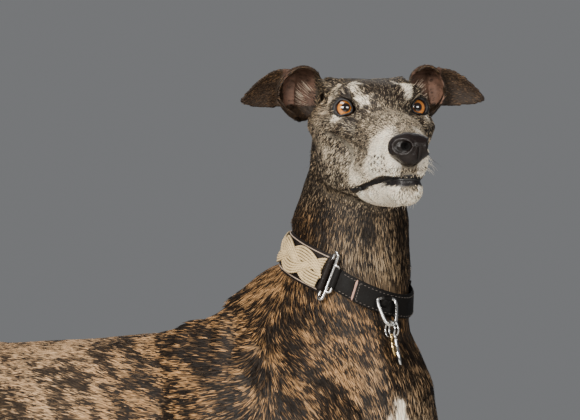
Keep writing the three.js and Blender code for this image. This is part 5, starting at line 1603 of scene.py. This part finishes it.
# %% Whiskers and lashes
draw = np.random.default_rng(5)
EAR_HAIR = linear(196, 178, 158)
HAIR_RINGS, HAIR_SIDES = 8, 5
whisker_nets = []
whisker_tones = []


def whisker(root, way, bend, long, thick, tone):
    """A thin tapered hair that bends as it goes."""
    t = np.linspace(0, 1, HAIR_RINGS)[:, None]
    line = root + unit(np.array(way, float)) * long * t + np.array(bend) * long * t ** 2
    whisker_nets.append(swept(from_head(line), thick * MM * (1 - 0.85 * t[:, 0]), HAIR_SIDES))
    whisker_tones.append(np.tile(tone, (HAIR_RINGS * HAIR_SIDES, 1)))


for side in (-1, 1):
    for x, z in WHISKER_ROOTS:
        root = on_skin((x, 60 * side, z), (0, -side, 0))
        if root is not None:
            way = (-0.25 + 0.15 * draw.random(), 0.8 * side, -0.25 - 0.3 * draw.random())
            tone = WHITE_HAIR if draw.random() < 0.55 else DARK_HAIR
            whisker(root, way, (-0.45, -0.1 * side, -0.25), 6 + 7 * draw.random(), 0.13, tone)
    for x, y, z in ((2, 24, 16), (-2, 27, 16), (6, 21, 13)):
        root = on_skin((x, y * side, z + 30), (0, 0, -1))
        whisker(root, (0.5, 0.3 * side, 0.8), (-0.4, 0.2 * side, -0.1), 12, 0.14, DARK_HAIR)
    for x, z in ((18, -40), (-30, -45)):
        root = on_skin((x, 70 * side, z), (0, -side, 0))
        whisker(root, (-0.2, 0.9 * side, -0.3), (-0.4, 0, -0.2), 18, 0.15, DARK_HAIR)
    for _ in range(34):
        up = draw.random()
        y = 50 + 12 * draw.random() - 6 * up
        root = on_skin((-20, y * side, 4 + 16 * up), (-1, 0, 0))
        if root is not None and root[0] < -66:
            way = (0.35, side * (0.9 - 0.3 * up), 0.2 + 0.7 * up)
            whisker(root, way, (-0.25, 0.1 * side, 0.1), 7 + 8 * draw.random(), 0.2, EAR_HAIR)
    middle, rays = LID_EDGES[side]
    for ray in rays[rays[:, 2] > 0.28]:
        root = middle + ray * (EYE_BALL + 2.0)
        bend = (0.15, 0.25 * side, 0.5)
        whisker(root, (0.75, 0.15 * side, 0.25), bend, 3.4 + 1.2 * draw.random(), 0.11, DARK_HAIR)
for x in (70, 80, 90, 98):
    for y in (-7, 0, 7):
        root = on_skin((x + draw.random() * 3, y, -120), (0, 0, 1))
        if root is not None:
            way = (-0.3, 0.1 * y / 7, -0.9)
            whisker(root, way, (-0.5, 0, 0.1), 4 + 5 * draw.random(), 0.12, WHITE_HAIR)
whisker_mesh = net_of("Whiskers", whisker_nets)
painted(whisker_mesh, np.vstack(whisker_tones))
piece_of("Whiskers", whisker_mesh, plain("Whisker", None, 0.4))

# %% Claws
claw_nets = []
claw_tones = []
horn = linear(74, 62, 54)
pale_horn = linear(150, 134, 116)
CLAW_RINGS, CLAW_SIDES = 14, 14
for number, (root, tip) in enumerate(CLAWS):
    t = np.linspace(0, 1, CLAW_RINGS)
    line = root + (tip - root) * t[:, None]
    line[:, 2] += 2.0 * np.sin(t * math.pi * 0.9) - 1.6 * t ** 3
    wide = 3.35 * np.sqrt(np.clip(1 - t ** 3.2, 0.012, 1)) * (1 - 0.25 * t)
    points, faces = swept(from_dog(line), wide * MM, CLAW_SIDES, out=np.array([0, 0, 1.0]), flat=1.12)
    points[:, 2] = np.maximum(points[:, 2], 0.0004)
    claw_nets.append((points, faces))
    streak = grain(to_dog(points), (6, 1.2, 6), 91)
    tone = horn * (0.7 + 0.6 * streak)[:, None]
    pale_tip = 0.5 * np.repeat(t, CLAW_SIDES) * (number % 3 == 1)
    claw_tones.append(towards(tone, pale_horn, pale_tip[:, None]))
claw_mesh = net_of("Claws", claw_nets)
painted(claw_mesh, np.vstack(claw_tones))
piece_of("Claws", claw_mesh, plain("Claw horn", None, 0.36, grain_size=0.0009, bump=0.25))

# %% [markdown]
# ## The collar
#
# The collar is a broad leather band with a three-strand plait sewn over it, two wire slides, and a
# narrower strap under the throat that carries a ring and two tags. All of it is laid round the neck by
# angle: turn 0 is the throat, and turns grow towards the dog's right. The neck's own reach is measured
# with rays and smoothed, so the leather lies evenly.

# %% Measure the neck
COLLAR_FRONT = np.array([COLLAR_UP[2], 0.0, -COLLAR_UP[0]])
SLIDE_RIGHT, SLIDE_LEFT = 66.0, -54.0
HALF_SLIDE = 5.1  # degrees from the middle of a slide to its bars
BAND_FROM, BAND_TO = SLIDE_RIGHT + HALF_SLIDE, SLIDE_LEFT - HALF_SLIDE + 360
STRAP_FROM, STRAP_TO = SLIDE_LEFT + HALF_SLIDE, SLIDE_RIGHT - HALF_SLIDE
FOLD_FROM, FOLD_TO = 13.0, 42.0  # the strap's sewn-back end covers these turns
BAND_HIGH = 36.0
BAND_THICK = 2.4
STRAP_HIGH = 20.0
STRAP_THICK = 3.0
STRAP_SAG = 6
CLEAR = 2.0  # millimetres between the skin and the leather
TURN_MM = 1.082  # millimetres along the collar for one degree
OUTSIDE = 0.13  # metres from the neck's middle, well outside the skin


def around(turn):
    """The outward directions at these turns, in degrees."""
    turn = np.radians(np.asarray(turn, float))[..., None]
    return np.cos(turn) * COLLAR_FRONT + np.sin(turn) * np.array([0.0, -1.0, 0.0])


# %% Reach round the neck
skin_tree = tree_of(skin_mesh)
reach_rows = []
for height in (-15, -5, 5, 15):
    row = []
    for turn in range(0, 360, 5):
        start = COLLAR_MID + COLLAR_UP * height * MM + around(turn) * OUTSIDE
        hit = skin_tree.ray_cast(Vector(start), Vector(-around(turn)))
        row.append((OUTSIDE - hit[3]) / MM)
    reach_rows.append(row)
reach_rows = np.array(reach_rows)
for _ in range(5):
    reach_rows = 0.5 * reach_rows + 0.25 * (np.roll(reach_rows, 1, axis=1) + np.roll(reach_rows, -1, axis=1))
reach_middle = reach_rows.mean(axis=0)
reach_slope = (reach_rows[3] + reach_rows[2] - reach_rows[1] - reach_rows[0]) / 40
print("neck's reach:", reach_middle.min().round(1), "to", reach_middle.max().round(1), "mm")


def on_collar(turn, height, out):
    """Places at turns in degrees, heights and distances out in millimetres, as model metres."""
    turn, height, out = np.broadcast_arrays(np.asarray(turn, float), height, out)
    knots = np.arange(0, 365, 5)
    reach, slope = (np.interp(turn % 360, knots, np.append(r, r[0])) for r in (reach_middle, reach_slope))
    far = reach + slope * height + CLEAR + out
    return COLLAR_MID + COLLAR_UP * height[..., None] * MM + around(turn) * far[..., None] * MM


def sag(turn):
    """How far the strap hangs below the band's middle."""
    t = (np.asarray(turn, float) - STRAP_FROM) / (STRAP_TO - STRAP_FROM)
    return STRAP_SAG * np.sin(math.pi * np.clip(t, 0, 1))


def wrapped(turns, profile, out=0.0, hang=False):
    """Leather laid along the collar: its section is a loop of heights and thicknesses."""
    profile = np.asarray(profile, float)
    drop = sag(turns)[:, None] if hang else 0.0
    points = on_collar(turns[:, None], profile[None, :, 0] - drop, profile[None, :, 1] + out)
    return points.reshape(-1, 3), wall(len(turns), len(profile))


# %% Sections and finishes of the collar
def leather_section(high, thick, dish=0.0):
    """A strip's section with rounded edges, and a sunken middle where dish says so."""
    half = high / 2
    section = [(-half, 0.25 * thick), (-half, 0.5 * thick)]
    for u in np.linspace(-1, 1, 15):
        section.append((half * u * 0.985, thick - 0.55 * abs(u) ** 10 * thick - dish * (1 - u * u)))
    return section + [(half, 0.5 * thick), (half, 0.25 * thick), (0, 0)]


def roll_of(turn, high):
    """Leather rolled round a bar."""
    line = on_collar(np.full(15, float(turn)), np.linspace(-high / 2, high / 2, 15), 3.3)
    return swept(line, 3.25 * MM, 16, out=around(turn))


band_leather = plain("Band leather", linear(27, 21, 18), 0.46, grain_size=0.0012, bump=0.5, tone=0.28)
strap_leather = plain("Strap leather", linear(15, 13, 12), 0.62, grain_size=0.001, bump=0.4, tone=0.3)
for leather in (band_leather, strap_leather):
    finish(leather, Specular_IOR_Level=0.16)
piping = plain("Piping", linear(158, 140, 124), 0.5, grain_size=0.0008, bump=0.3, tone=0.2)
worn = plain("Worn edge", linear(172, 134, 118), 0.62, grain_size=0.0012, bump=0.6, tone=0.35)
steel = plain("Steel", (0.72, 0.71, 0.69), 0.2, metal=1.0, grain_size=0.002, bump=0.04)
brass = plain("Brass", (0.83, 0.58, 0.24), 0.24, metal=1.0, grain_size=0.002, bump=0.08, tone=0.12)

# %% Band and strap
band_turns = np.arange(BAND_FROM, BAND_TO + 0.1, 1.5)
band_nets = [wrapped(band_turns, leather_section(BAND_HIGH, BAND_THICK))]
band_nets += [roll_of(turn, BAND_HIGH - 6) for turn in (BAND_FROM, BAND_TO)]
piece_of("Collar_band", band_nets, band_leather, ["collar_band"])
piping_turns = band_turns[2:-2]
piping_nets = []
for height in (-15.4, 15.4):
    line = on_collar(piping_turns, height, BAND_THICK + 0.05)
    piping_nets.append(swept(line, 0.55 * MM, 8, out=around(piping_turns)))
piece_of("Collar_piping", piping_nets, piping)
strap_turns = np.arange(STRAP_FROM, STRAP_TO + 0.1, 1.5)
fold_turns = np.arange(FOLD_FROM, FOLD_TO + 0.1, 1.0)
strap_nets = [
    wrapped(strap_turns, leather_section(STRAP_HIGH, STRAP_THICK), 0.6, hang=True),
    wrapped(fold_turns, leather_section(STRAP_HIGH - 1, 2.4, 0.3), 3.5, hang=True),
]
strap_nets += [roll_of(turn, STRAP_HIGH - 2) for turn in (STRAP_FROM, STRAP_TO)]
edge_line = on_collar(FOLD_TO + 0.4, np.linspace(-9.2, 9.2, 20) - sag(FOLD_TO), 4.9)
edge_radii = np.interp(np.arange(20), [0, 3, 10, 16, 19], [0.6, 1.25, 1.05, 1.3, 0.6]) * MM
worn_edge = swept(edge_line, edge_radii, 10)


# %% A pear-shaped wire link where the lead ring hangs
def axes_of(name):
    """A solid's middle, its own axes with the longest first, and its half lengths along them."""
    at = coordinates(nodes[name].data)
    middle = (at.min(axis=0) + at.max(axis=0)) / 2
    spread = at - at.mean(axis=0)
    axes = np.linalg.eigh(spread.T @ spread)[1][:, ::-1].T
    local = (at - middle) @ axes.T
    middle = middle + axes.T @ ((local.min(axis=0) + local.max(axis=0)) / 2)
    half = (local.max(axis=0) - local.min(axis=0)) / 2
    return middle, axes, half


RING_HALF = [(6, 0), (9, -1.5), (9.6, -6), (8.2, -13), (5.2, -22.5)]
RING_WIRE = 1.6
ring_middle, ring_axes, ring_half = axes_of("lead_ring")
ring_up = ring_axes[0] * math.copysign(1, ring_axes[0][2])
ring_across = ring_axes[1]
ring_top = ring_middle + ring_up * (ring_half[0] - RING_WIRE * MM)
outline = [(0, 0)] + RING_HALF + [(0, -25)] + [(-x, y) for x, y in RING_HALF[::-1]]
ring_line = smooth_line(outline, 90, loop=True) * MM
ring_line = ring_top + ring_line[:, :1] * ring_across + ring_line[:, 1:] * ring_up
ring_net = swept(ring_line, RING_WIRE * MM, 12, loop=True, out=np.cross(ring_up, ring_across))
piece_of("Lead_ring", [ring_net], steel, ["lead_ring"])

# %% The tab that holds the ring, and the strap
TAB_TURN = 19.0
tab_line = ring_top + np.linspace(-4.5, 4.5, 9)[:, None] * MM * ring_across
tab_foot = on_collar(TAB_TURN, -sag(TAB_TURN) - 2, 4.0)
strap_nets.append(swept(tab_line, 3.0 * MM, 14))
strap_nets.append(swept(np.linspace(ring_top, tab_foot, 8), 4.6 * MM, 14, out=ring_across))
piece_of("Collar_strap", strap_nets, strap_leather, ["collar_strap"])
piece_of("Strap_worn_edge", [worn_edge], worn)

# %% Split rings and tags
for name in ("split_ring_right", "split_ring_left"):
    middle, axes, _ = axes_of(name)
    turns = np.linspace(0, 4 * math.pi, 120)[:, None]
    line = middle + 7.2 * MM * (np.cos(turns) * axes[0] + np.sin(turns) * axes[1])
    line = line + np.linspace(-0.5, 0.5, 120)[:, None] * MM * axes[2]
    piece_of(name.capitalize(), [swept(line, 0.55 * MM, 8, out=axes[2])], steel, [name])

TAG_THICK = 1.1
TAG_RAYS = 96
HOLE_EDGE = 2.4
# Each place on half a tag's section: out from the hole or in from the outer edge, and up.
HOLE_SIDE = [(0.4, 0.0), (0.5, 0.7), (0.9, 1.0)]
RIM_SIDE = [(-1.7, 1.0), (-1.3, 1.5), (-0.7, 1.6), (-0.2, 1.3), (0, 0.6)]


def tag_net(name, wide, tall):
    """A tag with a raised rim and a hole in its eye."""
    middle, axes, _ = axes_of(name)
    up = axes[0] * math.copysign(1, axes[0][2])
    centre = middle - up * 2.6 * MM
    hole_at = np.array([0.0, tall + 2.0])
    turns = np.arange(TAG_RAYS) * 2 * math.pi / TAG_RAYS
    way = np.stack([np.cos(turns), np.sin(turns)], axis=1)
    far = np.full(TAG_RAYS, HOLE_EDGE)
    for step in np.arange(HOLE_EDGE, 2.2 * tall + 8, 0.05):
        x, y = (hole_at + way * step).T
        inside = np.minimum(np.hypot(x / wide, y / tall), np.hypot(x, y - tall - 1.4) / 3.8) < 1
        far = np.where(inside & (far > step - 0.3), step, far)
    for _ in range(2):
        far = 0.5 * far + 0.25 * (np.roll(far, 1) + np.roll(far, -1))
    half = [(np.full(TAG_RAYS, 2.0 + gap), z) for gap, z in HOLE_SIDE]
    half += [(far + gap, z) for gap, z in RIM_SIDE]
    points = []
    for out, z in half + [(out, -z) for out, z in half[:0:-1]]:
        flat_at = (hole_at + way * np.maximum(out[:, None], HOLE_EDGE)) * MM
        at = centre + flat_at[:, :1] * axes[1] + flat_at[:, 1:] * up
        points.append(at + z * TAG_THICK / 2 * MM * axes[2])
    return np.stack(points, axis=1).reshape(-1, 3), wall(TAG_RAYS, len(points), loop=True)


piece_of("Tag_round", [tag_net("tag_round", 9, 9)], brass, ["tag_round"])
piece_of("Tag_long", [tag_net("tag_long", 5, 13)], steel, ["tag_long"])

# %% Slides
TALL_HALF = [(-4.6, 19, 1.0), (-4.2, 21, 2.4), (-2.4, 22.2, 4.4), (0.2, 21, 5.6), (1.0, 18, 5.4)]
TALL_LOOP = TALL_HALF + [(1.0, 0, 4.6)] + [(x, -y, out) for x, y, out in TALL_HALF[::-1]] + [(-4.6, 0, 1.0)]
LOW_LOOP = [
    (1.0, 11, 5.2), (3.4, 11.4, 5.0), (5.2, 10.4, 4.0), (5.6, 8, 3.3), (5.6, -10, 3.3), (5.2, -12.4, 4.0),
    (3.4, -13.4, 5.0), (1.0, -13, 5.2),
]


def on_slide(turn, places):
    """Places on a slide, given as along the collar towards the throat, up it, and out from it."""
    x, y, out = np.array(places, float).T
    return on_collar(turn - math.copysign(1, turn) * x / TURN_MM, y, out)


for name, turn in (("slide_right", SLIDE_RIGHT), ("slide_left", SLIDE_LEFT)):
    tall_line = smooth_line(on_slide(turn, TALL_LOOP), 110, loop=True)
    low_line = smooth_line(on_slide(turn, LOW_LOOP), 60)
    nets = [
        swept(tall_line, 1.5 * MM, 12, loop=True, out=around(turn)),
        swept(low_line, 1.4 * MM, 12, out=around(turn)),
    ]
    piece_of(name.capitalize(), nets, steel, [name])

# %% [markdown]
# The plait has three strands, and each strand is five cords side by side. A strand swings up and down
# the band like a sine wave and rises and dips twice as fast, so each crosses over one neighbour and
# under the next. The cords themselves carry a fine two-ply twist, with painted shade in its grooves
# and on each cord's side away from the outside.

# %% Plait
PLAIT_MM = 110.0  # the length in which a strand comes back to its side
CORDS = 5
CORD_R = 1.26
CORD_APART = 2.6
SWING = 9.4
DIP = 1.15
STEPS = 460
SIDES = 8
PLAIT_COLOUR = linear(220, 192, 144)
plait_from = BAND_FROM + 4.5
plait_to = BAND_TO - 4.5
crossings = round((plait_to - plait_from) * TURN_MM / PLAIT_MM)
cord_nets = []
cord_tones = []
cord_lengths = []
t = np.linspace(0, 1, STEPS)
turn = plait_from + (plait_to - plait_from) * t
out = around(turn)
ply = np.arange(STEPS)[:, None] * 0.9 + np.arange(SIDES)[None, :] * 4 * math.pi / SIDES
twist = np.sin(ply).reshape(-1, 1)
for strand in range(3):
    phase = t * crossings * 2 * math.pi + strand * 2 * math.pi / 3
    height = SWING * np.sin(phase) * (1 + 0.12 * np.cos(2 * phase))
    over = DIP * np.sin(2 * phase)
    slope = np.arctan2(np.gradient(height, turn * TURN_MM), 1.0)
    for cord in range(CORDS):
        beside = (cord - (CORDS - 1) / 2) * CORD_APART
        line = on_collar(
            turn + np.sin(slope) * beside / TURN_MM,
            height + np.cos(slope) * beside,
            BAND_THICK + 1.2 + CORD_R + over - 0.035 * beside ** 2,
        )
        cord_lengths.append(np.linalg.norm(np.diff(line, axis=0), axis=1).sum() / MM)
        points, faces = swept(line, CORD_R * MM, SIDES, out=out)
        middle = np.repeat(line, SIDES, axis=0)
        cord_nets.append((middle + (points - middle) * (1 + 0.09 * twist), faces))
        # Painted shade: each cord is darker on its side away from the outside, and darker in the twist's
        # grooves than on its ridges.
        outer = np.sum((points - middle) * np.repeat(out, SIDES, axis=0), axis=1) / (CORD_R * MM)
        shade = 0.25 + 0.75 * smoothstep(-0.1, 0.9, outer)
        shade = shade * (0.82 + 0.3 * grain(to_dog(points), 3.5, 61))
        cord_tones.append(PLAIT_COLOUR * (0.84 + 0.16 * twist) * shade[:, None])
print("cords of the plait, mm long:", round(min(cord_lengths)), "to", round(max(cord_lengths)))
print("band, mm long:", round((BAND_TO - BAND_FROM) * TURN_MM))
print("strap, mm long:", round((STRAP_TO - STRAP_FROM) * TURN_MM))
plait_mesh = net_of("Collar_plait", cord_nets)
painted(plait_mesh, np.vstack(cord_tones))
cord_finish = plain("Plait cord", None, 0.72, grain_size=0.0005, bump=0.3)
piece_of("Collar_plait", plait_mesh, cord_finish, ["collar_plait"])

# %% [markdown]
# Stitches are one small thread capsule, set out by Geometry Nodes along the lines where leather is sewn.

# %% Stitches
thread = plain("Thread", linear(92, 84, 78), 0.6)
stitcher = Tree("Stitches along a line")
stitch_long = stitcher.size("Stitch length", 0.0023)
stitch_wide = stitcher.size("Stitch width", 0.0007)
set_out = stitcher.add(
    "GeometryNodeInstanceOnPoints",
    Points=stitcher.add("GeometryNodeMeshToPoints", Mesh=stitcher.start.outputs["Geometry"]),
    Instance=stitcher.add("GeometryNodeMeshIcoSphere", None, "Mesh", Radius=0.5, Subdivisions=2),
    Rotation=stitcher.facing(stitcher.stored("Out", "FLOAT_VECTOR"), stitcher.stored("Way", "FLOAT_VECTOR")),
    Scale=stitcher.add("ShaderNodeCombineXYZ", X=stitch_wide, Y=stitch_long, Z=stitch_wide),
)
stitcher.finish(set_out, thread)

# %% Sew the strap
STITCH_STEP = 3.1
ON_STRAP, ON_FOLD = 3.55, 5.7  # how far out the two faces of the leather lie
at, outward_at, way_at = [], [], []
for height in (2.2 - STRAP_HIGH / 2, STRAP_HIGH / 2 - 2.2):
    for start, stop, out in (
        (STRAP_FROM + 5, FOLD_FROM - 1, ON_STRAP),
        (FOLD_FROM + 1, FOLD_TO - 1, ON_FOLD),
        (FOLD_TO + 2, STRAP_TO - 5, ON_STRAP),
    ):
        turn = np.arange(start, stop, STITCH_STEP)
        at.append(on_collar(turn, height - sag(turn), out))
        outward_at.append(around(turn))
        way_at.append(unit(on_collar(turn + 1, height, 0) - on_collar(turn - 1, height, 0)))
rows = np.arange(-6.5, 7, 2.6)
at.append(on_collar(FOLD_TO - 2.2, rows - sag(FOLD_TO - 2.2), ON_FOLD))
outward_at.append(np.tile(around(FOLD_TO), (len(rows), 1)))
way_at.append(np.tile(COLLAR_UP, (len(rows), 1)))
seam = bpy.data.meshes.new("Strap_stitches")
seam.from_pydata(np.vstack(at), [], [])
put(seam, "Out", "FLOAT_VECTOR", np.vstack(outward_at))
put(seam, "Way", "FLOAT_VECTOR", np.vstack(way_at))
sewn = worked(shown("Seam", seam), stitcher, {"Stitch length": 0.0023, "Stitch width": 0.0007})
sewn.polygons.foreach_set("use_smooth", [True] * len(sewn.polygons))
piece_of("Strap_stitches", sewn, thread)
